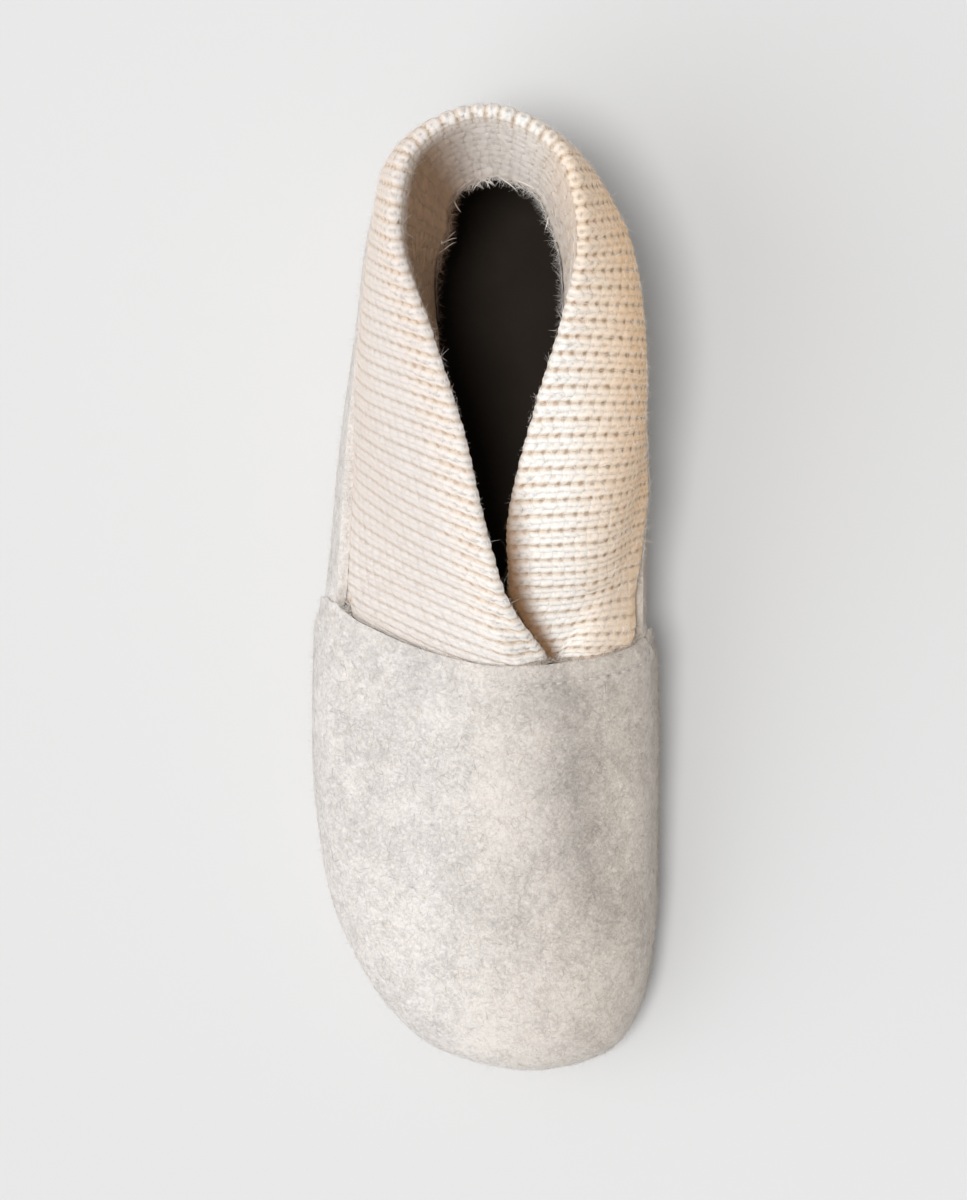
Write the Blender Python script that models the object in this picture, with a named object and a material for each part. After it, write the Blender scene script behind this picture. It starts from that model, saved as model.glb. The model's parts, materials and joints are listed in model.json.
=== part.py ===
"""Slipper boot for the right foot.

A felt foot with a second felt layer over the toes, a shaft of folded rib knit whose two ends
cross over the instep, an insole and a thin rubber outsole. The toe points to -Y, the heel to +Y,
the inner (medial) side of the foot to +X, and the sole stands on Z = 0.
"""

import bmesh
import bpy
import numpy as np

# Driving dimensions, in millimetres
MM = 0.001
LENGTH = 246.0
BALL_WIDTH = 89.4
INSTEP_HEIGHT = 62.0
SHAFT_HEIGHT = 106.0
FELT = 2.6
KNIT = 3.6
GAP = 0.3

HALF_LENGTH = LENGTH / 2
HALF_BALL = BALL_WIDTH / 2

# Sole
SOLE_THICKNESS = 5.0
SOLE_BEVEL = 1.4
SOLE_MARGIN = 0.4
SOLE_CUT_PITCH = 13.0
ARCH_RISE = 1.8
ARCH_CENTRE_Y = 26.0
ARCH_HALF_LENGTH = 34.0
TOE_SPRING = 6.0
SPRING_START_Y = -62.0
INSOLE_THICKNESS = 3.0
INSOLE_MARGIN = 1.0

# Felt foot
FEATHER_INSET = 3.6
FEATHER_FLARE = 0.55
VAMP_LOW = 0.035
FOOT_COLUMNS = 72
FOOT_ROWS = 13
WIDEST_ROW = 3
WIDEST_AT = WIDEST_ROW / FOOT_ROWS

# Knit shaft
SHAFT_CLEARANCE = 0.7
SHAFT_TUCK = 0.16
SHAFT_TUCK_ROWS = 2
SHAFT_TAIL = 6.0
SHAFT_TAIL_SLOPE = 28.0
SHAFT_TAIL_LEAST = 0.4
SHAFT_END_PAST_CORNER = 0.22
SHAFT_COLUMNS = 60
SHAFT_ROWS = 11
SHAFT_EDGE_RADIUS = 1.2
FOLD_LENGTH = 31.0
FOLD_FREE_Y = 66.0
FOLD_TAPER_Y, FOLD_FULL_Y = 56.0, 78.0
FOLD_STEPS = (0.3, 0.55, 0.8, 1.0)
COLLAR_CENTRE = (4.0, 82.0)

# The felt foot, a row for each upright section round the last.
# wide: the widest point, edge: the top edge, as shares of HALF_BALL, HALF_LENGTH and INSTEP_HEIGHT.
# rise: pull straight up from the widest point, reach: pull back along the slope at the edge, in mm.
# slope: angle of the felt at its top edge, in degrees from level.
FOOT_COLUMN_NAMES = "wide_x wide_y wide_z edge_x edge_y edge_z rise reach slope".split()
FOOT_SECTIONS = {
    "heel_back": (0.030, 1.000, 0.42, 0.030, 0.935, 0.935, 15, 12, 78),
    "heel_lateral_back": (-0.430, 0.925, 0.42, -0.360, 0.875, 0.930, 15, 12, 78),
    "heel_lateral": (-0.660, 0.750, 0.40, -0.590, 0.740, 0.905, 14, 12, 79),
    "waist_lateral_back": (-0.735, 0.537, 0.36, -0.690, 0.525, 0.860, 13, 12, 79),
    "waist_lateral": (-0.825, 0.293, 0.34, -0.770, 0.293, 0.800, 13, 12, 76),
    "corner_lateral": (-0.905, 0.015, 0.32, -0.825, -0.005, 0.740, 15, 10, 60),
    "ball_lateral": (-0.932, -0.333, 0.30, -0.725, -0.050, 0.805, 22, 13, 27),
    "little_toe": (-0.866, -0.577, 0.28, -0.560, -0.080, 0.875, 20, 28, 25),
    "lateral_toe": (-0.620, -0.801, 0.26, -0.330, -0.113, 0.945, 19, 43, 25),
    "toe_lateral": (-0.215, -0.941, 0.25, -0.089, -0.137, 0.985, 19, 52, 26),
    "toe_tip": (0.250, -0.978, 0.25, 0.123, -0.148, 1.000, 19, 55, 26),
    "toe_medial": (0.690, -0.939, 0.25, 0.333, -0.148, 0.985, 20, 52, 26),
    "big_toe": (0.880, -0.813, 0.26, 0.532, -0.140, 0.945, 20, 43, 26),
    "big_toe_joint": (0.930, -0.610, 0.28, 0.710, -0.126, 0.885, 21, 28, 26),
    "ball_medial": (0.930, -0.333, 0.30, 0.840, -0.108, 0.815, 22, 13, 28),
    "corner_medial": (0.918, -0.050, 0.32, 0.903, -0.080, 0.750, 15, 10, 70),
    "waist_medial": (0.925, 0.293, 0.34, 0.912, 0.293, 0.805, 13, 12, 84),
    "waist_medial_back": (0.855, 0.537, 0.36, 0.838, 0.530, 0.865, 13, 12, 84),
    "heel_medial": (0.710, 0.750, 0.40, 0.680, 0.742, 0.910, 14, 12, 82),
    "heel_medial_back": (0.450, 0.925, 0.42, 0.385, 0.875, 0.930, 15, 12, 78),
}
FOOT_SIZES = (HALF_BALL, HALF_LENGTH, INSTEP_HEIGHT) * 2 + (1, 1, 1)

# The knit shaft, a row for each rib line from the felt's edge over the middle of the band to the rim.
# seam_y: how far along the felt's edge the line starts, NaN at the ends, which start at the vamp's corners.
# mid and rim: points of the band's middle layer, in mm, heights as shares of SHAFT_HEIGHT.
# sink: how far the rim half of the line dips to pass under the other end, in mm.
# hang: how far the inner layer of the fold hangs in from the rim at its cut edge, in mm.
SHAFT_COLUMN_NAMES = "seam_y mid_x mid_y mid_z rim_x rim_y rim_z sink hang".split()
AT_CORNER = float("nan")
SHAFT_RIBS = {
    "lateral_end": (AT_CORNER, -9.2, -13.2, 0.520, 15.2, -16.0, 0.534, 0, 0),
    "lateral_wrap": (5, -14.0, 2.0, 0.602, 6.0, -2.0, 0.680, 0, 0),
    "lateral_front": (23, -18.5, 19.0, 0.652, 1.0, 15.0, 0.765, 0, 0),
    "lateral_side": (43, -24.5, 42.3, 0.690, -4.6, 40.5, 0.852, 0, 0),
    "lateral_ankle": (64, -26.8, 64.5, 0.720, -12.0, 64.0, 0.910, 0, 1.0),
    "lateral_heel": (88, -25.2, 89.5, 0.740, -19.6, 89.5, 0.948, 0, 4.2),
    "lateral_back": (104, -20.2, 106.8, 0.755, -15.9, 108.2, 0.970, 0, 8.6),
    "back": (112, 2.5, 116.2, 0.758, 2.8, 117.6, 0.978, 0, 14.5),
    "medial_back": (104, 24.0, 106.0, 0.755, 21.0, 108.0, 0.970, 0, 8.2),
    "medial_heel": (88, 33.2, 90.5, 0.758, 26.2, 90.5, 0.948, 0, 6.4),
    "medial_ankle": (64, 37.8, 66.5, 0.762, 22.8, 68.5, 0.910, 0, 1.5),
    "medial_side": (43, 37.2, 44.5, 0.742, 15.6, 45.0, 0.852, 0, 0),
    "medial_front": (23, 32.6, 20.0, 0.688, 8.8, 18.0, 0.750, 0, 0),
    "medial_wrap": (4, 28.2, 1.2, 0.592, 8.0, -0.5, 0.634, 1.5, 0),
    "medial_end": (AT_CORNER, 21.0, -14.8, 0.514, 0.9, -15.6, 0.533, 5.6, 0),
}
SHAFT_SIZES = (1, 1, 1, SHAFT_HEIGHT, 1, 1, SHAFT_HEIGHT, 1, 1)
SINK_FROM, SINK_TO = 0.34, 0.62


class Course:
    """Rows of values joined by cubics, open or closed into a ring. Steady ones never overshoot a row."""

    def __init__(self, knots, rows, closed=False, steady=True):
        knots, rows = np.array(knots, float), np.array(rows, float)
        if closed:
            lap = knots[-1]
            knots = np.concatenate([[knots[-2] - lap], knots, [lap + knots[1]]])
            rows = np.concatenate([rows[-2:-1], rows, rows[1:2]])
        gaps = np.diff(knots)[:, None]
        steps = np.diff(rows, axis=0) / gaps
        before, after = steps[:-1], steps[1:]
        heavy, light = 2 * gaps[1:] + gaps[:-1], gaps[1:] + 2 * gaps[:-1]
        same_way = before * after > 0
        safe_before, safe_after = np.where(same_way, before, 1), np.where(same_way, after, 1)
        inner = (before * gaps[1:] + after * gaps[:-1]) / (gaps[1:] + gaps[:-1])
        if steady:
            inner = np.where(same_way, (heavy + light) / (heavy / safe_before + light / safe_after), 0)
        self.knots, self.rows, self.gaps = knots, rows, gaps
        self.slopes = np.concatenate([steps[:1], inner, steps[-1:]])

    def __call__(self, places):
        places = np.asarray(places, float)
        span = np.clip(np.searchsorted(self.knots, places, "right") - 1, 0, len(self.gaps) - 1)
        gap = self.gaps[span]
        s = (places - self.knots[span])[..., None] / gap
        left, right = self.rows[span], self.rows[span + 1]
        pull_left, pull_right = self.slopes[span] * gap, self.slopes[span + 1] * gap
        return (
            left * (1 + 2 * s) * (1 - s) ** 2
            + pull_left * s * (1 - s) ** 2
            + right * s**2 * (3 - 2 * s)
            - pull_right * s**2 * (1 - s)
        )


def bezier(a, b, c, d, s):
    s = s[..., None]
    return a * (1 - s) ** 3 + 3 * b * s * (1 - s) ** 2 + 3 * c * s**2 * (1 - s) + d * s**3


def unit(vectors):
    return vectors / np.maximum(np.linalg.norm(vectors, axis=-1, keepdims=True), 1e-9)


def smooth_step(x):
    x = np.clip(x, 0, 1)
    return x * x * (3 - 2 * x)


def toe_lift(y):
    """How far the toe spring lifts the sole and the felt that stands on it."""
    run = np.clip((SPRING_START_Y - y) / (SPRING_START_Y + HALF_LENGTH), 0, None)
    return TOE_SPRING * run**2


# The last

section_rows = np.array(list(FOOT_SECTIONS.values())) * FOOT_SIZES
ring_rows = np.concatenate([section_rows, section_rows[:1]])
ring_steps = np.linalg.norm(np.diff(ring_rows[:, :2], axis=0), axis=1)
ring_knots = np.concatenate([[0], np.cumsum(ring_steps)]) / ring_steps.sum()
foot_course = Course(ring_knots, ring_rows, closed=True)
place_of = dict(zip(FOOT_SECTIONS, ring_knots))


def outline_out(p):
    """Level unit vector that points out of the foot's plan outline."""
    step = 1e-4
    run = foot_course((p + step) % 1)[..., :2] - foot_course((p - step) % 1)[..., :2]
    run = unit(run)
    return np.stack([run[..., 1], -run[..., 0], 0 * p], axis=-1)


def feather(p, inset=FEATHER_INSET):
    """The foot's lower edge, where the felt meets the sole."""
    wide = foot_course(p % 1)[..., :3]
    point = wide - outline_out(p) * inset
    point[..., 2] = SOLE_THICKNESS + GAP + toe_lift(point[..., 1])
    return point


def foot_surface(p, t):
    """Outer face of the felt foot: p runs once round from the heel, t from the sole to the top edge."""
    row = foot_course(p % 1)
    wide, edge = row[..., 0:3].copy(), row[..., 3:6]
    rise, reach, slope = row[..., 6:7], row[..., 7:8], np.radians(row[..., 8:9])
    wide[..., 2] += toe_lift(wide[..., 1])
    up = np.array([0.0, 0.0, 1.0])
    low = feather(p)
    drop = wide[..., 2:3] - low[..., 2:3]
    low_pull = low + FEATHER_FLARE * FEATHER_INSET * outline_out(p) + up * drop / 4
    inward = edge - wide
    inward[..., 2] = 0
    edge_pull = edge - reach * (np.cos(slope) * unit(inward) + np.sin(slope) * up)
    below = bezier(low, low_pull, wide - up * drop / 2, wide, np.clip(t / WIDEST_AT, 0, 1))
    above_share = np.clip((t - WIDEST_AT) / (1 - WIDEST_AT), 0, 1)
    above = bezier(wide, wide + up * rise, edge_pull, edge, above_share)
    return np.where((t < WIDEST_AT)[..., None], below, above)


def foot_layer(p, t, depth):
    """The foot's outer face moved in by depth along its own normal, out where depth is negative."""
    step = 1e-3
    low, high = np.clip(t - step, 0, 1), np.clip(t + step, 0, 1)
    along = foot_surface(p + step, t) - foot_surface(p - step, t)
    upward = foot_surface(p, high) - foot_surface(p, low)
    return foot_surface(p, t) - depth * unit(np.cross(along, upward))


# The shaft

SHAFT_DEPTH = FELT + SHAFT_CLEARANCE + KNIT / 2


def seam_places(seam_y):
    """Where each rib line starts on the ring of the felt's top edge, from one corner round to the other."""
    samples = np.linspace(0, 1, 2001)
    edge_y = foot_surface(samples, np.ones_like(samples))[:, 1]
    lateral, medial = place_of["corner_lateral"], place_of["corner_medial"]
    back = np.nanargmax(seam_y)
    lateral += SHAFT_END_PAST_CORNER * (place_of["ball_lateral"] - lateral)
    medial += SHAFT_END_PAST_CORNER * (place_of["ball_medial"] - medial)
    places = []
    for index, y in enumerate(seam_y):
        side = samples < lateral if index < back else samples > medial
        lap = 0 if index < back else 1
        if np.isnan(y):
            places.append(lateral if index < back else medial - lap)
        elif index == back:
            places.append(0.0)
        else:
            places.append(samples[side][np.argmin(abs(edge_y[side] - y))] - lap)
    return np.array(places)


rib_rows = np.array(list(SHAFT_RIBS.values())) * SHAFT_SIZES
rib_rows[:, 0] = seam_places(rib_rows[:, 0])
rib_steps = np.linalg.norm(np.diff((rib_rows[:, 1:4] + rib_rows[:, 4:7]) / 2, axis=0), axis=1)
rib_knots = np.concatenate([[0], np.cumsum(rib_steps)]) / rib_steps.sum()
rib_course = Course(rib_knots, rib_rows, steady=False)


def rib_row(u):
    """The values of SHAFT_RIBS at these places along the band, whose first and last columns are its tails."""
    end_share = 1 / SHAFT_COLUMNS
    return rib_course(np.clip((u - end_share) / (1 - 2 * end_share), 0, 1))


def shaft_surface(u, v):
    """Middle layer of the knit band: u runs along it from the lateral end, v from its lower edge to the rim.

    Its first rows are tucked down inside the felt's edge, and both ends run on under the vamp.
    """
    end_share = 1 / SHAFT_COLUMNS
    past_end = np.clip(abs(u - 0.5) - 0.5 + end_share, 0, None) / end_share
    row = rib_row(u)
    seam, mid, rim, sink = row[..., 0], row[..., 1:4], row[..., 4:7], row[..., 7]
    tuck_share = SHAFT_TUCK_ROWS / SHAFT_ROWS
    b = (np.clip(v - tuck_share, 0, None) / (1 - tuck_share))[..., None]
    tuck = np.clip(1 - v / tuck_share, 0, 1)
    start = foot_layer(seam % 1, 1 - SHAFT_TUCK * tuck, SHAFT_DEPTH)
    point = start * (1 - b) * (1 - 2 * b) + 4 * mid * b * (1 - b) + rim * b * (2 * b - 1)
    point[..., 2] -= sink * smooth_step((b[..., 0] - SINK_FROM) / (SINK_TO - SINK_FROM))
    slope = np.radians(SHAFT_TAIL_SLOPE)
    tail = SHAFT_TAIL * np.array([0, -np.cos(slope), -np.sin(slope)])
    tail_share = SHAFT_TAIL_LEAST + (1 - SHAFT_TAIL_LEAST) * smooth_step(b / 0.4)
    return point + past_end[..., None] * tail_share * tail


def shaft_inside(u, v):
    """The band's inner face."""
    step = 1e-3
    along = shaft_surface(u + step, v) - shaft_surface(u - step, v)
    upward = shaft_surface(u, v) - shaft_surface(u, v - step)
    return shaft_surface(u, v) - KNIT / 2 * unit(np.cross(upward, along))


def fold_points(start, u, depth):
    """Front and back of the fold's inner layer where it hangs free, depth from 0 at the rim to 1 at its cut edge."""
    row = rib_row(u)
    rim, hang = row[..., 4:7], row[..., 8]
    inward = np.zeros_like(rim)
    inward[..., :2] = unit(np.array(COLLAR_CENTRE) - rim[..., :2])
    length = FOLD_LENGTH * smooth_step((rim[..., 1] - FOLD_TAPER_Y) / (FOLD_FULL_Y - FOLD_TAPER_Y))
    drop = np.sqrt(length**2 - hang**2) * depth
    front = start + inward * (hang * depth**1.15)[..., None] - drop[..., None] * np.array([0, 0, 1])
    return front, front - inward * KNIT / 2 * 1.1


# Modelling helpers


def material(name, colour, roughness):
    made = bpy.data.materials.new(name)
    made.use_nodes = True
    shader = made.node_tree.nodes["Principled BSDF"]
    shader.inputs["Base Color"].default_value = (*colour, 1)
    shader.inputs["Roughness"].default_value = roughness
    return made


def new_object(name, bm, finish):
    mesh = bpy.data.meshes.new(name)
    bm.to_mesh(mesh)
    bm.free()
    mesh.shade_smooth()
    mesh.materials.append(finish)
    made = bpy.data.objects.new(name, mesh)
    bpy.context.scene.collection.objects.link(made)
    return made


def shaped_grid(columns, rows, place, closed=False):
    """A grid whose points go where place(u, v) says, u and v from 0 to 1."""
    bm = bmesh.new()
    bmesh.ops.create_grid(bm, x_segments=columns, y_segments=rows, size=0.5)
    flat = np.array([vert.co[:2] for vert in bm.verts]) + 0.5
    for vert, point in zip(bm.verts, place(flat[:, 0], flat[:, 1])):
        vert.co = point * MM
    if closed:
        bmesh.ops.remove_doubles(bm, verts=bm.verts, dist=GAP * MM / 100)
    return bm


def thicken(made, thickness, offset):
    """Gives a sheet its wall: offset -1 grows inward, 1 outward, 0 both ways."""
    wall = made.modifiers.new("wall", "SOLIDIFY")
    wall.thickness = thickness * MM
    wall.offset = offset
    wall.use_even_offset = True
    wall.use_quality_normals = True
    return made


def plan_slab(outline, thickness):
    """A flat slab of this plan outline, cut across at even steps so that it can bend."""
    bm = bmesh.new()
    floor = bm.faces.new([bm.verts.new((x * MM, y * MM, 0)) for x, y in outline])
    raised = bmesh.ops.extrude_face_region(bm, geom=[floor])["geom"]
    for vert in (item for item in raised if isinstance(item, bmesh.types.BMVert)):
        vert.co.z = thickness * MM
    bmesh.ops.recalc_face_normals(bm, faces=bm.faces)
    for y in np.arange(SOLE_CUT_PITCH - HALF_LENGTH, HALF_LENGTH, SOLE_CUT_PITCH):
        whole = bm.verts[:] + bm.edges[:] + bm.faces[:]
        bmesh.ops.bisect_plane(bm, geom=whole, plane_co=(0, y * MM, 0), plane_no=(0, 1, 0))
    return bm


# The pieces


def build_outsole(finish):
    """Thin rubber sole: flat under heel and forefoot, hollowed at the arch, lifted at the toe."""
    p = np.arange(FOOT_COLUMNS) / FOOT_COLUMNS
    bm = plan_slab(feather(p, FEATHER_INSET - SOLE_MARGIN)[:, :2], SOLE_THICKNESS)
    corners = [e for e in bm.edges if e.calc_face_angle(0) > np.radians(60)]
    bmesh.ops.bevel(
        bm, geom=corners, offset=SOLE_BEVEL * MM, segments=2, profile=0.5, affect="EDGES", clamp_overlap=True
    )
    for vert in bm.verts:
        y = vert.co.y / MM
        under = 1 - vert.co.z / (SOLE_THICKNESS * MM)
        arch = ARCH_RISE * (1 - smooth_step(abs(y - ARCH_CENTRE_Y) / ARCH_HALF_LENGTH))
        vert.co.z += (arch * under + toe_lift(y)) * MM
    return new_object("outsole", bm, finish)


def build_insole(finish):
    """Felt-covered footbed that lies on the outsole inside the felt wall."""
    p = np.arange(FOOT_COLUMNS) / FOOT_COLUMNS
    bm = plan_slab(feather(p, FEATHER_INSET + FELT + INSOLE_MARGIN)[:, :2], INSOLE_THICKNESS)
    for vert in bm.verts:
        vert.co.z += (SOLE_THICKNESS + GAP + toe_lift(vert.co.y / MM)) * MM
    return new_object("insole", bm, finish)


def build_upper(finish):
    """The felt foot in one wall from toe to heel, open on top and underneath."""
    bm = shaped_grid(FOOT_COLUMNS, FOOT_ROWS, foot_surface, closed=True)
    return thicken(new_object("upper", bm, finish), FELT, -1)


def build_vamp(finish):
    """Felt overlay across the toes and instep, a second layer outside the foot's own wall."""
    columns = np.arange(FOOT_COLUMNS + 1) / FOOT_COLUMNS
    first, last = place_of["corner_lateral"], place_of["corner_medial"]
    inside = columns[(columns > first) & (columns < last)]

    def place(u, v):
        index = np.rint(u * (len(inside) - 1)).astype(int)
        return foot_layer(inside[index], np.maximum(v, VAMP_LOW), -GAP)

    bm = shaped_grid(len(inside) - 1, FOOT_ROWS, place)
    return thicken(new_object("vamp", bm, finish), FELT, 1)


def hang_inner_layer(made):
    """Draws the inner layer of the fold out of the band's inner face, from its top strip down round the heel."""
    bm = bmesh.new()
    bm.from_object(made, bpy.context.evaluated_depsgraph_get())
    made.modifiers.clear()
    lines = np.arange(SHAFT_COLUMNS + 1) / SHAFT_COLUMNS
    lines = lines[rib_row(lines)[:, 5] > FOLD_FREE_Y]
    middles = (lines[:-1] + lines[1:]) / 2
    centres = shaft_inside(middles, np.full_like(middles, 1 - 0.5 / SHAFT_ROWS))
    bm.faces.ensure_lookup_table()
    face_centres = np.array([face.calc_center_median() for face in bm.faces]) / MM
    strip = [bm.faces[np.argmin(np.linalg.norm(face_centres - centre, axis=1))] for centre in centres]
    rim_spots = shaft_inside(lines, np.ones_like(lines))
    low_spots = shaft_inside(lines, np.full_like(lines, 1 - 1 / SHAFT_ROWS))
    spots = np.concatenate([rim_spots, low_spots])
    spot_of = bm.verts.layers.int.new("spot")
    start = rim_spots.copy()
    for vert in {vert for face in strip for vert in face.verts}:
        at = np.array(vert.co) / MM
        vert[spot_of] = int(np.argmin(np.linalg.norm(spots - at, axis=1)))
        if vert[spot_of] < len(lines):
            start[vert[spot_of]] = at
    for depth in FOLD_STEPS:
        points = np.concatenate(fold_points(start, lines, depth))
        drawn = bmesh.ops.extrude_face_region(bm, geom=strip)["geom"]
        bmesh.ops.delete(bm, geom=strip, context="FACES_ONLY")
        strip = [item for item in drawn if isinstance(item, bmesh.types.BMFace)]
        for vert in (item for item in drawn if isinstance(item, bmesh.types.BMVert)):
            vert.co = points[vert[spot_of]] * MM
    bm.to_mesh(made.data)
    bm.free()


def build_shaft(finish):
    """Folded band of rib knit, sewn inside the felt's edge, its lateral end crossed over the medial.

    The inner layer of the fold lies on the outer one in front and hangs free inside the collar round the heel.
    """
    bm = shaped_grid(SHAFT_COLUMNS, SHAFT_ROWS, shaft_surface)
    made = thicken(new_object("shaft", bm, finish), KNIT, 0)
    edge = made.modifiers.new("soft edge", "BEVEL")
    edge.width = SHAFT_EDGE_RADIUS * MM
    edge.segments = 2
    edge.limit_method = "ANGLE"
    edge.angle_limit = np.radians(60)
    hang_inner_layer(made)
    return made


def main():
    for old in list(bpy.data.objects):
        bpy.data.objects.remove(old)
    build_outsole(material("sole rubber", (0.62, 0.58, 0.52), 0.7))
    build_insole(material("insole felt", (0.16, 0.11, 0.08), 0.95))
    build_upper(material("quarter felt", (0.66, 0.64, 0.61), 0.95))
    build_vamp(material("vamp felt", (0.70, 0.68, 0.65), 0.95))
    build_shaft(material("rib knit", (0.80, 0.72, 0.62), 0.9))


main()
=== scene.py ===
"""Looks of a slipper boot for the right foot: felt foot, knit shaft, toe piece, footbed and rubber sole."""

import json
import math

import bmesh
import bpy
import numpy as np
from mathutils import Matrix, Vector, noise

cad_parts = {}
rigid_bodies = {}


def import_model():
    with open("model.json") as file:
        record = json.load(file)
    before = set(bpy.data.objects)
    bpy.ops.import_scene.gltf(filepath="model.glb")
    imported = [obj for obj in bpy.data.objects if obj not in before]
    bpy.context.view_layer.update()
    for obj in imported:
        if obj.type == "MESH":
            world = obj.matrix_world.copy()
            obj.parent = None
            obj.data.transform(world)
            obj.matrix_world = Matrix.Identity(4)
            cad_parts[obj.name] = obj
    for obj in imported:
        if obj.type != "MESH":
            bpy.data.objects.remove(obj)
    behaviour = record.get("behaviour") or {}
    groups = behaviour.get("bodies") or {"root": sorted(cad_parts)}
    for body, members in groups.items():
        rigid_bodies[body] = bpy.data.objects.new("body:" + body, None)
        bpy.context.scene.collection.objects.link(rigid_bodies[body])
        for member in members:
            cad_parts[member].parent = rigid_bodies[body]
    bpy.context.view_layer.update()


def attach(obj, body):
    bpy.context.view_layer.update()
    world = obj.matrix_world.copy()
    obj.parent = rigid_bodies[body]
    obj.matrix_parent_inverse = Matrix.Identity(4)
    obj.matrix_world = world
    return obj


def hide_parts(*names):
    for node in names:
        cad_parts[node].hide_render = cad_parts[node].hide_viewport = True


for leftover in list(bpy.data.objects):
    bpy.data.objects.remove(leftover)
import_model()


# The last
# The wooden form that the felt is steamed over, for a right foot of 246 mm: toe to -Y, heel to +Y,
# big-toe side to +X, the floor at Z = 0. Felt, knit and sole are all cut to it. Sizes are in millimetres.
MM = 0.001
LENGTH = 246.0
BALL_WIDTH = 89.4
INSTEP_HEIGHT = 62.0
HALF_LENGTH = LENGTH / 2
HALF_BALL = BALL_WIDTH / 2
GAP = 0.3
SOLE_THICKNESS = 5.0
TOE_SPRING = 6.0
SPRING_START_Y = -62.0
FEATHER_INSET = 3.6
FEATHER_FLARE = 0.55
WIDEST_AT = 3 / 13

# A row for each upright section round the last.
# wide x y z: the widest point, edge x y z: the felt's top edge, as shares of half width, half length, instep.
# rise: pull straight up from the widest point, reach: pull back along the slope at the edge, in mm.
# slope: angle of the felt at its top edge, in degrees from level.
FOOT_SECTIONS = {
    "heel_back": (0.030, 1.000, 0.42, 0.030, 0.935, 0.935, 15, 12, 78),
    "heel_lateral_back": (-0.430, 0.925, 0.42, -0.360, 0.875, 0.930, 15, 12, 78),
    "heel_lateral": (-0.660, 0.750, 0.40, -0.590, 0.740, 0.905, 14, 12, 79),
    "waist_lateral_back": (-0.735, 0.537, 0.36, -0.690, 0.525, 0.860, 13, 12, 79),
    "waist_lateral": (-0.825, 0.293, 0.34, -0.770, 0.293, 0.800, 13, 12, 76),
    "corner_lateral": (-0.905, 0.015, 0.32, -0.825, -0.005, 0.740, 15, 10, 60),
    "ball_lateral": (-0.932, -0.333, 0.30, -0.725, -0.050, 0.805, 22, 13, 27),
    "little_toe": (-0.866, -0.577, 0.28, -0.560, -0.080, 0.875, 20, 28, 25),
    "lateral_toe": (-0.620, -0.801, 0.26, -0.330, -0.113, 0.945, 19, 43, 25),
    "toe_lateral": (-0.215, -0.941, 0.25, -0.089, -0.137, 0.985, 19, 52, 26),
    "toe_tip": (0.250, -0.978, 0.25, 0.123, -0.148, 1.000, 19, 55, 26),
    "toe_medial": (0.690, -0.939, 0.25, 0.333, -0.148, 0.985, 20, 52, 26),
    "big_toe": (0.880, -0.813, 0.26, 0.532, -0.140, 0.945, 20, 43, 26),
    "big_toe_joint": (0.930, -0.610, 0.28, 0.710, -0.126, 0.885, 21, 28, 26),
    "ball_medial": (0.930, -0.333, 0.30, 0.840, -0.108, 0.815, 22, 13, 28),
    "corner_medial": (0.918, -0.050, 0.32, 0.903, -0.080, 0.750, 15, 10, 70),
    "waist_medial": (0.925, 0.293, 0.34, 0.912, 0.293, 0.805, 13, 12, 84),
    "waist_medial_back": (0.855, 0.537, 0.36, 0.838, 0.530, 0.865, 13, 12, 84),
    "heel_medial": (0.710, 0.750, 0.40, 0.680, 0.742, 0.910, 14, 12, 82),
    "heel_medial_back": (0.450, 0.925, 0.42, 0.385, 0.875, 0.930, 15, 12, 78),
}
FOOT_SIZES = (HALF_BALL, HALF_LENGTH, INSTEP_HEIGHT) * 2 + (1, 1, 1)


class Course:
    """Rows of values joined by cubics, open or closed into a ring. Steady ones never overshoot a row."""

    def __init__(self, knots, rows, closed=False, steady=True):
        knots, rows = np.array(knots, float), np.array(rows, float)
        if closed:
            lap = knots[-1]
            knots = np.concatenate([[knots[-2] - lap], knots, [lap + knots[1]]])
            rows = np.concatenate([rows[-2:-1], rows, rows[1:2]])
        gaps = np.diff(knots)[:, None]
        steps = np.diff(rows, axis=0) / gaps
        before, after = steps[:-1], steps[1:]
        heavy, light = 2 * gaps[1:] + gaps[:-1], gaps[1:] + 2 * gaps[:-1]
        same_way = before * after > 0
        safe_before, safe_after = np.where(same_way, before, 1), np.where(same_way, after, 1)
        inner = (before * gaps[1:] + after * gaps[:-1]) / (gaps[1:] + gaps[:-1])
        if steady:
            inner = np.where(same_way, (heavy + light) / (heavy / safe_before + light / safe_after), 0)
        self.knots, self.rows, self.gaps = knots, rows, gaps
        self.slopes = np.concatenate([steps[:1], inner, steps[-1:]])

    def __call__(self, places):
        places = np.asarray(places, float)
        span = np.clip(np.searchsorted(self.knots, places, "right") - 1, 0, len(self.gaps) - 1)
        gap = self.gaps[span]
        s = (places - self.knots[span])[..., None] / gap
        left, right = self.rows[span], self.rows[span + 1]
        pull_left, pull_right = self.slopes[span] * gap, self.slopes[span + 1] * gap
        return (
            left * (1 + 2 * s) * (1 - s) ** 2
            + pull_left * s * (1 - s) ** 2
            + right * s**2 * (3 - 2 * s)
            - pull_right * s**2 * (1 - s)
        )


def bezier(a, b, c, d, s):
    s = s[..., None]
    return a * (1 - s) ** 3 + 3 * b * s * (1 - s) ** 2 + 3 * c * s**2 * (1 - s) + d * s**3


def unit(vectors):
    return vectors / np.maximum(np.linalg.norm(vectors, axis=-1, keepdims=True), 1e-9)


def run_along(points):
    """Distance of each point from the first one along their line."""
    gaps = np.diff(points, axis=-2, prepend=points[..., :1, :])
    return np.cumsum(np.linalg.norm(gaps, axis=-1), axis=-1)


def smooth_step(x):
    x = np.clip(x, 0, 1)
    return x * x * (3 - 2 * x)


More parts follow.
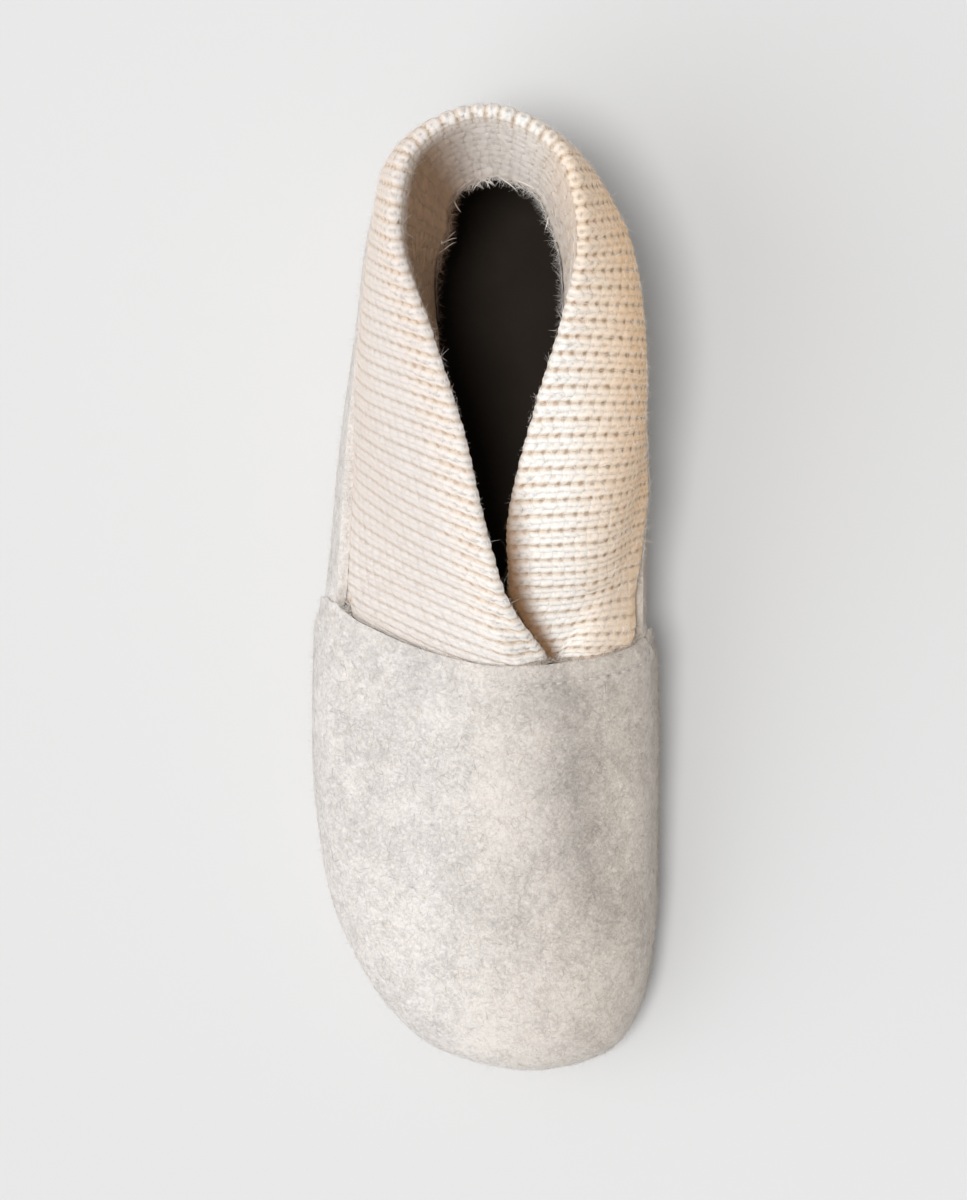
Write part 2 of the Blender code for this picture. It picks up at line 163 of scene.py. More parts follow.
def hump(x):
    """1 at 0, falling softly to nothing by about 2 on either side."""
    return np.exp(-(x**2))


def toe_lift(y):
    """How far the toe spring lifts the sole and the felt that stands on it."""
    run = np.clip((SPRING_START_Y - y) / (SPRING_START_Y + HALF_LENGTH), 0, None)
    return TOE_SPRING * run**2


section_rows = np.array(list(FOOT_SECTIONS.values())) * FOOT_SIZES
ring_rows = np.concatenate([section_rows, section_rows[:1]])
ring_run = run_along(ring_rows[:, :2])
ring_knots = ring_run / ring_run[-1]
foot_course = Course(ring_knots, ring_rows, closed=True)
place_of = dict(zip(FOOT_SECTIONS, ring_knots))


def outline_out(p):
    """Level unit vector that points out of the foot's plan outline."""
    step = 1e-4
    run = unit(foot_course((p + step) % 1)[..., :2] - foot_course((p - step) % 1)[..., :2])
    return np.stack([run[..., 1], -run[..., 0], 0 * p], axis=-1)


def feather(p, inset=FEATHER_INSET):
    """The foot's lower edge, where the felt meets the sole."""
    wide = foot_course(p % 1)[..., :3]
    point = wide - outline_out(p) * inset
    point[..., 2] = SOLE_THICKNESS + GAP + toe_lift(point[..., 1])
    return point


def foot_surface(p, t):
    """Outer face of the felt foot: p runs once round from the heel, t from the sole to the top edge."""
    row = foot_course(p % 1)
    wide, edge = row[..., 0:3].copy(), row[..., 3:6]
    rise, reach, slope = row[..., 6:7], row[..., 7:8], np.radians(row[..., 8:9])
    wide[..., 2] += toe_lift(wide[..., 1])
    up = np.array([0.0, 0.0, 1.0])
    low = feather(p)
    drop = wide[..., 2:3] - low[..., 2:3]
    low_pull = low + FEATHER_FLARE * FEATHER_INSET * outline_out(p) + up * drop / 4
    inward = edge - wide
    inward[..., 2] = 0
    edge_pull = edge - reach * (np.cos(slope) * unit(inward) + np.sin(slope) * up)
    below = bezier(low, low_pull, wide - up * drop / 2, wide, np.clip(t / WIDEST_AT, 0, 1))
    above_share = np.clip((t - WIDEST_AT) / (1 - WIDEST_AT), 0, 1)
    above = bezier(wide, wide + up * rise, edge_pull, edge, above_share)
    return np.where((t < WIDEST_AT)[..., None], below, above)


def felt_lay(p, t):
    """Size of a small patch of the felt and the way it faces, at these places on the last."""
    step = 1e-3
    low, high = np.clip(t - step, 0, 1), np.clip(t + step, 0, 1)
    along = foot_surface(p + step, t) - foot_surface(p - step, t)
    upward = (foot_surface(p, high) - foot_surface(p, low)) / (high - low)[..., None]
    patch = np.cross(along, upward)
    return np.linalg.norm(patch, axis=-1), unit(patch)


def felt_face(p, t, out):
    """The foot's outer face moved outward by out along its own normal."""
    return foot_surface(p, t) + np.asarray(out, float)[..., None] * felt_lay(p, t)[1]


# Felt foot
# One wall of light grey mottled wool felt from toe to heel, open on top and below, with a dark brown lining.
# The felt is cut flat, closed at the heel and steamed over the last, and its top edge is left raw.
FELT = 2.6
FELT_EDGE_RADIUS = 1.1
FOOT_COLUMNS = 288
FOOT_ROWS = 52
PART_COLUMNS = 72  # the toe piece's sides lie on two of these lines round the last
THROAT_CUT = 9.0  # how far the wall stays below the toe piece's back edge, which lies over it
THROAT_FROM, THROAT_OVER = 0.004, 0.02  # where the cut starts past the corners, as shares of the way round
FELT_LUMPS = {3.4: 0.15, 1.4: 0.09}  # size of the felt's lumps and how far they stand out
CLOUDS = {15.0: 0.16, 6.0: 0.14, 2.2: 0.20}  # size of the clouds of grey wool and how strong they are
GREY_IN_ALL = 0.30
WOOL_LIGHT = (0.83, 0.79, 0.755)
WOOL_GREY = (0.42, 0.40, 0.385)
WOOL_LIGHT_MEDIAL_SHADED = (0.71, 0.645, 0.575)  # painted shade: the wool is drawn browner and darker towards the big-toe side
WOOL_GREY_MEDIAL_SHADED = (0.35, 0.31, 0.27)
MEDIAL_SHADE_FROM_X, MEDIAL_SHADE_TO_X = -12.0, 34.0
WOOL_BEIGE = (0.68, 0.59, 0.50)
# painted shade in the seam's needle holes
NEEDLE_HOLE_SHADE = (0.16, 0.15, 0.14)
LINING_BROWN = (0.105, 0.078, 0.057)
LINING_WORN = (0.145, 0.110, 0.083)
QUARTER_LOW = 0.02
QUARTER_FIBRES = 19000
QUARTER_EDGE_FIBRES = 1800
FIBRE_SEED = 11
FIBRE_LENGTH, FIBRE_WIDTH = (1.2, 3.6), (0.04, 0.10)
FIBRE_LIES, FIBRE_STANDS = (0, 0.3), (0.6, 1.8)  # how far a flat fibre and a stray one lift off the felt
STRAY_SHARE, STRAY_WIDTH = 0.16, 0.05
GREY_FIBRES, BEIGE_FIBRES = 0.05, 0.08  # share of single grey and beige fibres

# Where grey wool lies thick in the felt over the toes, strongest on the big-toe side as painted shade, and
# where negative strengths make it paler, at the tip as painted light: place, radius and strength.
GREY_AND_PAINTED_SHADING_PATCHES = (
    (22, -27, 11, 0.32),
    (-18, -14, 9, 0.16),
    (24, -47, 9, 0.48),
    (27, -64, 9, 0.44),
    (-27, -38, 10, 0.08),
    (-25, -62, 9, 0.08),
    (9, -80, 9, 0.12),
    (31, -79, 9, 0.40),
    (-9, -99, 9, 0.08),
    (2, -52, 15, -0.10),
    (-22, -84, 13, -0.10),
    (12, -101, 11, -0.06),
    (4, -116, 14, -0.24),
)


class Wire:
    """One output in a material's nodes. Sums on it add Math nodes, and node() adds any other kind."""

    def __init__(self, tree, socket=None):
        self.tree = tree
        self.socket = socket

    def node(self, kind, settings=None, sockets=None, output=0):
        """Adds a node: its settings first, then the values or wires of its sockets."""
        made = self.tree.nodes.new(kind)
        for name, value in (settings or {}).items():
            setattr(made, name, value)
        for name, value in (sockets or {}).items():
            if isinstance(value, Wire):
                self.tree.links.new(value.socket, made.inputs[name])
            else:
                made.inputs[name].default_value = value
        return Wire(self.tree, made.outputs[output])

    def sum(self, operation, left, right):
        return self.node("ShaderNodeMath", {"operation": operation}, {0: left, 1: right})

    def __add__(self, other):
        return self.sum("ADD", self, other)

    def __sub__(self, other):
        return self.sum("SUBTRACT", self, other)

    def __rsub__(self, other):
        return self.sum("SUBTRACT", other, self)

    def __mul__(self, other):
        return self.sum("MULTIPLY", self, other)

    __radd__, __rmul__ = __add__, __mul__

    def spread(self, low, high):
        """From 0 at low to 1 at high, and level past both."""
        ends = {"Value": self, "From Min": low, "From Max": high}
        return self.node("ShaderNodeMapRange", {"clamp": True}, ends)

    def mix(self, colour, other):
        """From colour where this is 0 to other where it is 1."""
        ends = [end if isinstance(end, Wire) else (*end, 1) for end in (colour, other)]
        return self.node("ShaderNodeMix", {"data_type": "RGBA"}, {0: self, 6: ends[0], 7: ends[1]}, output=2)

    def grain(self, size, detail=2.0, distortion=0.0):
        """Noise in lumps of this size in mm, fixed to the piece."""
        place = self.node("ShaderNodeTexCoord", output="Object")
        lumps_of = {"Vector": place, "Scale": 1 / (size * MM), "Detail": detail, "Distortion": distortion}
        return self.node("ShaderNodeTexNoise", None, lumps_of)

    def from_x(self, low, high):
        """From 0 at one place across the shoe to 1 at another, in mm."""
        place = self.node("ShaderNodeTexCoord", output="Object")
        return self.node("ShaderNodeSeparateXYZ", None, {0: place}, output="X").spread(low * MM, high * MM)

    def mark(self, name):
        """A number that the mesh carries at each point."""
        return self.node("ShaderNodeAttribute", {"attribute_name": name}, output="Fac")

    def feed(self, shader, name):
        self.tree.links.new(self.socket, shader.inputs[name])

    def bumps(self, shader, strength, high):
        """Bumps of up to this height in mm where this is 1."""
        sockets = {"Strength": strength, "Distance": high * MM, "Height": self}
        self.node("ShaderNodeBump", None, sockets).feed(shader, "Normal")


def new_finish(name, sheen):
    """A plain rough material with a soft sheen, and the start of its nodes."""
    made = bpy.data.materials.new(name)
    made.use_nodes = True
    shader = made.node_tree.nodes["Principled BSDF"]
    shader.inputs["Specular IOR Level"].default_value = 0.15
    shader.inputs["Sheen Weight"].default_value = sheen
    shader.inputs["Sheen Roughness"].default_value = 0.5
    return made, shader, Wire(made.node_tree)


def felt_finish():
    """Light wool with clouds, flecks and hairs of grey, matted so that no weave shows, drawn browner and
    darker towards the big-toe side as painted shade, with painted shade in the needle holes.
    """
    made, shader, wire = new_finish("mottled felt", 0.3)
    fleck = wire.grain(0.9, 3.0, 0.6)
    matted = wire.grain(0.35, 2.0, 1.5)
    tuft = wire.grain(1.5, 2.0, 1.0).spread(0.58, 0.74)
    share = wire.mark("grey") * 0.9 + (fleck.spread(0.32, 0.68) - 0.5) * 0.46
    share = share + (matted - 0.5) * 0.5 + tuft * 0.25
    # painted shade: the wool turns browner and darker towards the big-toe side
    medial = wire.from_x(MEDIAL_SHADE_FROM_X, MEDIAL_SHADE_TO_X)
    light, grey = medial.mix(WOOL_LIGHT, WOOL_LIGHT_MEDIAL_SHADED), medial.mix(WOOL_GREY, WOOL_GREY_MEDIAL_SHADED)
    wool = share.spread(0.05, 0.95).mix(light, grey)
    wire.mark("needle").mix(wool, NEEDLE_HOLE_SHADE).feed(shader, "Base Color")
    (0.86 + 0.12 * fleck).feed(shader, "Roughness")
    (fleck * 0.8 + matted).bumps(shader, 0.6, 0.25)
    return made


def worn_finish(name, sheen, colours, cloud, fine, rough, bumps):
    """One colour worn or dusted to another in soft clouds under a fine grain.

    cloud: grain, where it starts to show and share, fine: grain and share,
    rough: least roughness and what fine grain and clouds add, bumps: strength and height.
    """
    made, shader, wire = new_finish(name, sheen)
    (cloud_grain, shows_from, cloud_share), (fine_grain, fine_share) = cloud, fine
    clouds, nap = wire.grain(*cloud_grain), wire.grain(*fine_grain)
    worn = clouds.spread(shows_from, 0.7) * cloud_share + (nap - 0.5) * fine_share
    worn.mix(*colours).feed(shader, "Base Color")
    (rough[0] + rough[1] * nap + rough[2] * clouds).feed(shader, "Roughness")
    nap.bumps(shader, *bumps)
    return made


def fibre_finish():
    """Loose wool fibres, each with the colour that it carries."""
    made, shader, wire = new_finish("wool fibre", 0.2)
    colour = wire.node("ShaderNodeAttribute", {"attribute_name": "wool"}, output="Color")
    colour.feed(shader, "Base Color")
    (0.8 + 0.15 * wire.grain(0.5)).feed(shader, "Roughness")
    return made


def shaped_grid(columns, rows, place, closed=False):
    """A grid whose points go where place(u, v) says, u and v from 0 to 1."""
    bm = bmesh.new()
    bmesh.ops.create_grid(bm, x_segments=columns, y_segments=rows, size=0.5)
    flat = np.array([vert.co[:2] for vert in bm.verts]) + 0.5
    for vert, point in zip(bm.verts, place(flat[:, 0], flat[:, 1])):
        vert.co = point * MM
    if closed:
        bmesh.ops.remove_doubles(bm, verts=bm.verts, dist=GAP * MM / 100)
    return bm


def new_piece(name, mesh, slot, *finishes):
    """A finished piece of the shoe, smooth, with its finishes, riding on the one body."""
    mesh.name = name
    mesh.shade_smooth()
    for finish in finishes:
        mesh.materials.append(finish)
    made = bpy.data.objects.new(name, mesh)
    bpy.context.scene.collection.objects.link(made)
    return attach(made, "root")


def mesh_of(bm):
    made = bpy.data.meshes.new("piece")
    bm.to_mesh(made)
    bm.free()
    return made


def joined_mesh(points, faces):
    """Many copies of one shape as one mesh: the points of each copy in mm, and the faces of the first."""
    first = points.shape[1] * np.arange(len(points))[:, None, None]
    faces = (first + faces).reshape(-1, faces.shape[-1])
    made = bpy.data.meshes.new("piece")
    made.from_pydata((points * MM).reshape(-1, 3).tolist(), [], faces.tolist())
    return made


def points_of(mesh):
    flat = np.empty(3 * len(mesh.vertices), np.float32)
    mesh.vertices.foreach_get("co", flat)
    return flat.reshape(-1, 3) / MM


def carry(mesh, name, values):
    """Gives each point of the mesh a number, vector or colour for its material to read."""
    kinds = {1: ("FLOAT", "value"), 3: ("FLOAT_VECTOR", "vector"), 4: ("FLOAT_COLOR", "color")}
    kind, field = kinds[np.size(values) // len(mesh.vertices)]
    mesh.attributes.new(name, kind, "POINT").data.foreach_set(field, np.ravel(values).astype(np.float32))


def wall(made, thickness, edge_radius, lining=0):
    """Thickens a sheet inward and rounds its cut edges."""
    thick = made.modifiers.new("wall", "SOLIDIFY")
    thick.thickness = thickness * MM
    thick.offset = -1
    thick.use_quality_normals = True
    thick.material_offset = lining
    edge = made.modifiers.new("soft edge", "BEVEL")
    edge.width = edge_radius * MM
    edge.segments = 2
    edge.limit_method = "ANGLE"
    edge.angle_limit = math.radians(60)


def lumps(points, size):
    """Smooth noise from -1 to 1 at these points, in lumps of about this size."""
    return np.array([noise.noise(point) for point in points / size])


def felt_relief(points):
    return sum(high * lumps(points, size) for size, high in FELT_LUMPS.items())


def grey_wool_and_painted_shading(points):
    """How much grey shows at these points, from 0 to 1: grey wool, with painted shade and painted light from
    the patches.
    """
    share = GREY_IN_ALL + sum(strength * lumps(points, size) for size, strength in CLOUDS.items())
    for x, y, radius, strength in GREY_AND_PAINTED_SHADING_PATCHES:
        share = share + strength * hump(np.hypot(points[:, 0] - x, points[:, 1] - y) / radius)
    return np.clip(share, 0, 1)


def spots_on_felt(first, last, low, out, count, chance):
    """Even random places on the felt between two columns of the last: points and the ways they face."""
    p = chance.uniform(first, last, 4 * count)
    t = chance.uniform(low, 1, 4 * count)
    patch, facing = felt_lay(p, t)
    kept = chance.choice(len(p), count, replace=False, p=patch / patch.sum())
    return felt_face(p[kept], t[kept], out(p[kept], t[kept])), facing[kept]


def spots_on_edge(first, last, out, count, chance):
    """Random places on the felt's raw top edge: points and the ways they face."""
    p = chance.uniform(first, last, count)
    top = np.ones(count)
    points = felt_face(p, top, out(p, top) - chance.uniform(0, FELT, count))
    return points, unit(foot_surface(p, top) - foot_surface(p, top - 0.02))


def strands(roots, facing, lengths, rises, widths, chance):
    """Ribbons for loose fibres: each lies across its root, bends aside and lifts off at one end."""
    count = len(roots)
    ways = unit(np.cross(facing, chance.normal(size=(count, 3))))
    sides = np.cross(facing, ways)
    run = np.linspace(-0.5, 0.5, 4)
    taper = np.array([0.5, 1.0, 0.9, 0.25])
    bends = lengths * chance.normal(0, 0.3, count)
    path = roots[:, None] + ways[:, None] * (lengths[:, None] * run)[..., None]
    path = path + sides[:, None] * (bends[:, None] * run**2)[..., None]
    path = path + facing[:, None] * (rises[:, None] * (run + 0.5) ** 2)[..., None]
    flat = unit(sides + facing * chance.normal(0, 0.5, count)[:, None])
    half = flat[:, None] * (widths[:, None] * taper / 2)[..., None]
    points = np.stack([path - half, path + half], axis=2).reshape(count, -1, 3)
    return joined_mesh(points, 2 * np.arange(len(run) - 1)[:, None] + np.array([0, 2, 3, 1]))


def blend(colour, other, share):
    return np.array(colour) * (1 - share) + np.array(other) * share


def wool_colours(roots, chance):
    """A colour for each fibre, near that of the felt under it, and now and then grey or beige."""
    count = len(roots)
    share = np.clip(grey_wool_and_painted_shading(roots) * 0.9 + chance.normal(0, 0.13, count), 0, 1)[:, None]
    share = np.where(chance.uniform(0, 1, (count, 1)) < GREY_FIBRES, 1.0, share)
    # painted shade: fibres towards the big-toe side are browner and darker, like the felt under them
    medial = np.clip((roots[:, :1] - MEDIAL_SHADE_FROM_X) / (MEDIAL_SHADE_TO_X - MEDIAL_SHADE_FROM_X), 0, 1)
    light, grey = blend(WOOL_LIGHT, WOOL_LIGHT_MEDIAL_SHADED, medial), blend(WOOL_GREY, WOOL_GREY_MEDIAL_SHADED, medial)
    colours = blend(light, grey, share)
    colours = np.where(chance.uniform(0, 1, (count, 1)) < BEIGE_FIBRES, WOOL_BEIGE, colours)
    colours = colours * chance.uniform(0.95, 1.10, (count, 1))
    return np.repeat(np.column_stack([colours, np.ones(count)]), 8, axis=0)


def felt_nap(name, slot, first, last, low, out, count, edge_count):
    """The felt's loose fibres: most lie flat, some stand off and soften the outline and the raw edge."""
    chance = np.random.default_rng(FIBRE_SEED)
    spots = spots_on_felt(first, last, low, out, count, chance)
    edge_spots = spots_on_edge(first, last, out, edge_count, chance)
    roots, facing = (np.concatenate(both) for both in zip(spots, edge_spots))
    count = len(roots)
    roots = roots + facing * chance.uniform(0.02, 0.25, count)[:, None]
    stray = chance.uniform(0, 1, count) < STRAY_SHARE
    rises = np.where(stray, chance.uniform(*FIBRE_STANDS, count), chance.uniform(*FIBRE_LIES, count))
    lengths = chance.uniform(*FIBRE_LENGTH, count)
    widths = np.where(stray, STRAY_WIDTH, chance.uniform(*FIBRE_WIDTH, count))
    mesh = strands(roots, facing, lengths, rises, widths, chance)
    carry(mesh, "wool", wool_colours(roots, chance))
    return new_piece(name, mesh, slot, wool_fibre)


def edge_speed(p):
    """Millimetres of felt for each unit of t near the top edge."""
    t = np.full_like(p, 0.99)
    return np.linalg.norm(foot_surface(p, t + 0.01) - foot_surface(p, t), axis=-1) / 0.01


# The toe piece covers the felt between these two places on the last.
corner_lateral, corner_medial = place_of["corner_lateral"], place_of["corner_medial"]
part_columns = np.arange(PART_COLUMNS + 1) / PART_COLUMNS
toe_first = part_columns[part_columns > corner_lateral][0]
toe_last = part_columns[part_columns < corner_medial][-1]


def felt_foot_place(u, v):
    from_corners = np.minimum(u - toe_first, toe_last - u)
    cut = THROAT_CUT * smooth_step((from_corners - THROAT_FROM) / THROAT_OVER)
    t = v * (1 - cut / edge_speed(u))
    return felt_face(u, t, felt_relief(foot_surface(u, t)))


def on_foot(p, t):
    return 0 * p


mottled_felt = felt_finish()
brown_lining = worn_finish(
    "brown lining",
    sheen=0.05,
    colours=(LINING_BROWN, LINING_WORN),
    cloud=((9.0, 3.0), 0.4, 0.6),
    fine=((0.45, 2.0), 0.5),
    rough=(0.82, 0.14, 0.0),
    bumps=(0.4, 0.15),
)
wool_fibre = fibre_finish()
foot_mesh = mesh_of(shaped_grid(FOOT_COLUMNS, FOOT_ROWS, felt_foot_place, closed=True))
carry(foot_mesh, "grey", grey_wool_and_painted_shading(points_of(foot_mesh)))
felt_foot = new_piece("felt_foot", foot_mesh, "quarter_felt", mottled_felt, brown_lining)
wall(felt_foot, FELT, FELT_EDGE_RADIUS, lining=1)
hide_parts("upper")
quarter_ends = corner_medial - 1, corner_lateral
nap_counts = QUARTER_FIBRES, QUARTER_EDGE_FIBRES
felt_nap("felt_foot_nap", "quarter_felt", *quarter_ends, QUARTER_LOW, on_foot, *nap_counts)


# Knit shaft
# One band of cream wool in one-and-one rib, folded double at the rim, its ribs running up from the felt.
# It is sewn inside the felt's top edge, and its lateral end is crossed over the medial end at the instep.
SHAFT_HEIGHT = 106.0
KNIT = 3.6
SHAFT_CLEARANCE = 0.7
SHAFT_TUCK = 0.16
SHAFT_TUCK_SHARE = 2 / 11
SHAFT_TAIL = 6.0
SHAFT_TAIL_SLOPE = 28.0
SHAFT_TAIL_LEAST = 0.4
SHAFT_END_SHARE = 1 / 60
SHAFT_END_PAST_CORNER = 0.22
SHAFT_DEPTH = FELT + SHAFT_CLEARANCE + KNIT / 2
SINK_FROM, SINK_TO = 0.34, 0.62
AT_CORNER = float("nan")

# A row for each rib line from the felt's edge over the middle of the band to the rim.
# seam_y: how far along the felt's edge the line starts, NaN at the ends, which start at the vamp's corners.
# mid x y z and rim x y z: points of the band's middle layer, in mm, heights as shares of the shaft's height.
# sink: how far the rim half of the line dips to pass under the other end, in mm.
SHAFT_RIBS = {
    "lateral_end": (AT_CORNER, -9.2, -13.2, 0.520, 15.2, -16.0, 0.534, 0),
    "lateral_wrap": (5, -14.0, 2.0, 0.602, 6.0, -2.0, 0.680, 0),
    "lateral_front": (23, -18.5, 19.0, 0.652, 1.0, 15.0, 0.765, 0),
    "lateral_side": (43, -24.5, 42.3, 0.690, -4.6, 40.5, 0.852, 0),
    "lateral_ankle": (64, -26.8, 64.5, 0.720, -12.0, 64.0, 0.910, 0),
    "lateral_heel": (88, -25.2, 89.5, 0.740, -19.6, 89.5, 0.948, 0),
    "lateral_back": (104, -20.2, 106.8, 0.755, -15.9, 108.2, 0.970, 0),
    "back": (112, 2.5, 116.2, 0.758, 2.8, 117.6, 0.978, 0),
    "medial_back": (104, 24.0, 106.0, 0.755, 21.0, 108.0, 0.970, 0),
    "medial_heel": (88, 33.2, 90.5, 0.758, 26.2, 90.5, 0.948, 0),
    "medial_ankle": (64, 37.8, 66.5, 0.762, 22.8, 68.5, 0.910, 0),
    "medial_side": (43, 37.2, 44.5, 0.742, 15.6, 45.0, 0.852, 0),
    "medial_front": (23, 32.6, 20.0, 0.688, 8.8, 18.0, 0.750, 0),
    "medial_wrap": (4, 28.2, 1.2, 0.592, 8.0, -0.5, 0.634, 1.5),
    "medial_end": (AT_CORNER, 21.0, -14.8, 0.514, 0.9, -15.6, 0.533, 5.6),
}
SHAFT_SIZES = (1, 1, 1, SHAFT_HEIGHT, 1, 1, SHAFT_HEIGHT, 1)

WALES = 80
RIB = 4.0
COURSE = 2.9
SKEW_AT = (0.0, 0.3, 0.5, 0.7, 1.0)
SKEW = (0.05, 0.045, 0.0, -0.008, -0.008)  # how far a rib strays towards the heel, as a share of the band
SKEW_OVER = 60.0
SKIN = 1.2  # from the middle of the folded band to the sheet under the stitches
GROOVE = 0.5
SHEET, SHEET_EDGE = 0.5, 0.1
SHEET_ROWS = 56
END_RIBS_BARE = 0.7  # the stitches stop this part of a rib before the band's ends
LOWEST = 0.10  # share of the band's height where the stitches end, inside the felt
SEAM_SWELL, SEAM_SWELL_OVER = 1.0, 0.08  # the knit fills out against the felt's edge
END_SWELL = 3.2  # and against the underside of the toe piece
END_SWELL_WITHIN, END_SWELL_OVER = 0.08, 0.05
PUFF = 2.0  # the soft medial flap is blown up a little between the rim and the felt
PUFF_FROM_U, PUFF_TO_U = 0.56, 0.96
PUFF_HEIGHT, PUFF_SPREAD = 0.66, 0.20
BULGE_AT_Y = (-12, 8, 26, 38, 46, 90, 112)
BULGE_LATERAL = (0.0, 0.8, 1.2, 1.3, 1.3, 1.3, 0.0)  # how far it bulges over the felt's edge
BULGE_MEDIAL = (1.0, 3.0, 3.2, 1.4, 0.0, 0.0, 0.0)
BULGE_HEIGHT, BULGE_SPREAD = 0.29, 0.09
INSIDE_LENGTH = 31.0
FREE_FROM_Y, FREE_FULL_Y = 40.0, 62.0  # where the inner layer leaves the outer one, towards the heel
SAG_AT_Y = (60, 67, 73, 79, 85, 91, 97, 108, 118)
SAG_LATERAL = (0.0, 1.6, 3.4, 5.5, 8.0, 10.5, 12.5, 13.5, 13.0)  # how far in its lower edge hangs
SAG_MEDIAL = (0.0, 1.2, 2.4, 3.8, 5.2, 6.6, 8.0, 10.0, 13.0)
COLLAR_CENTRE = np.array([4.0, 82.0])
LEG_LENGTH = (5.0, 5.8)  # half a stitch, where it is open and where it closes into a smooth rib
LEG_WIDTH = (0.92, 1.2)  # as a share of a rib
LEG_SPREAD_INSIDE = 0.75
LEG_THICKNESS = (1.1, 0.6)
LEG_APART = (0.22, 0.12)
LEG_LEAN = (0.08, 0.02)
LEG_DIP = (0.14, 0.06)
CLOSED_TO_U, CLOSED_OVER_U = 0.56, 0.12  # they close on the lateral half of the band
CLOSED_AT_SEAM, CLOSED_SEAM_OVER = 20.0, 8.0  # and down by the felt
CLOSED_INSIDE, CLOSED_OVER = 1.6, 9.0  # inside they are felted flat, from the rim down
CLOSED_SHAPE = 1.15
OPEN_RIM, OPEN_OVER = 6.0, 10.0  # open stitches along the lateral rim, and how far they take to close up
SCALLOP, SCALLOP_AT, SCALLOP_OVER = 0.7, 4.0, 3.0  # the ribs stand out in a row of bumps along the rim
PIT_IN_RIB, PIT_BETWEEN = 0.30, 0.75  # where the pits lie along a course, in a rib's middle and beside it
PITS_AND_SHADE_DEEPEN_FROM_X, PITS_AND_SHADE_DEEPEN_TO_X = 14, 32
RIM_ROLL = 2.5  # how far the sheet's closer rows reach on either side of the rim
ROUGH_EDGE = 1.3
KNIT_HAIRS = 15500
EDGE_HAIRS = 1500
HAIR_LENGTH, HAIR_LIES = (1.2, 3.2), (0.0, 0.5)
STRAY_LENGTH, STRAY_STANDS = (2.5, 6), (0.6, 2.2)
STRAY_HAIRS, STRAY_HAIRS_AT_EDGE = 0.15, 0.5
HAIR_WIDTH = 0.06
LOOSE_ENDS = 80
FRAYED = (0.36, 0.64)  # the part of the band whose cut edge is frayed
TUFT_AT, TUFT_SPREAD = 0.475, 0.012  # where along the band half of the loose ends hang
LOOSE_LENGTH, LOOSE_RADIUS = 3.2, 0.2
YARN_SEED = 5
YARN_PALE = (0.82, 0.755, 0.71)
YARN_WARM = (0.97, 0.935, 0.89)
WARM_FROM_X, WARM_TO_X = -14.0, 14.0
# painted shade: the tan the yarn turns on the medial side
YARN_MEDIAL_TAN_SHADE = (0.88, 0.61, 0.385)
# darker yarn for random tone, and painted shade in the creases and grooves
YARN_TONE_AND_GROOVE_SHADE = (0.68, 0.53, 0.39)
# painted shade in the pits between the stitches
YARN_PIT_SHADE = (0.42, 0.26, 0.145)
TAN_SHADE_AT_Y, TAN_SHADE_FROM_X = (50, 75, 105), (22, 20, 13)  # where painted tan shade starts on the medial side
TAN_SHADE_OVER = 18.0
YARN_SHADE = (0.24, 0.13, 0.062)  # painted brown shade inside the collar on the lateral side, and on the medial flap under the lap
INNER_SHADE_MOST, INNER_SHADE_TO_U, INNER_SHADE_OVER_U = 0.92, 0.50, 0.07
INNER_SHADE_BELOW_RIM, INNER_SHADE_OVER = 2.5, 6.0
LAP_SHADE_AT_Y = (-15, -5, 9, 23)
LAP_SHADE = (4.5, 7.0, 10.5, 13.5)  # how far from the lateral rim the painted shade reaches


def seam_places(seam_y):
    """Where each rib line starts on the ring of the felt's top edge, from one corner round to the other."""
    samples = np.linspace(0, 1, 2001)
    edge_y = foot_surface(samples, np.ones_like(samples))[:, 1]
    lateral = corner_lateral + SHAFT_END_PAST_CORNER * (place_of["ball_lateral"] - corner_lateral)
    medial = corner_medial + SHAFT_END_PAST_CORNER * (place_of["ball_medial"] - corner_medial)
    back = np.nanargmax(seam_y)
    places = []
    for index, y in enumerate(seam_y):
        side = samples < lateral if index < back else samples > medial
        lap = 0 if index < back else 1
        if np.isnan(y):
            places.append(lateral if index < back else medial - lap)
        elif index == back:
            places.append(0.0)
        else:
            places.append(samples[side][np.argmin(abs(edge_y[side] - y))] - lap)
    return np.array(places)


rib_rows = np.array(list(SHAFT_RIBS.values())) * SHAFT_SIZES
rib_rows[:, 0] = seam_places(rib_rows[:, 0])
rib_run = run_along((rib_rows[:, 1:4] + rib_rows[:, 4:7]) / 2)
rib_course = Course(rib_run / rib_run[-1], rib_rows, steady=False)


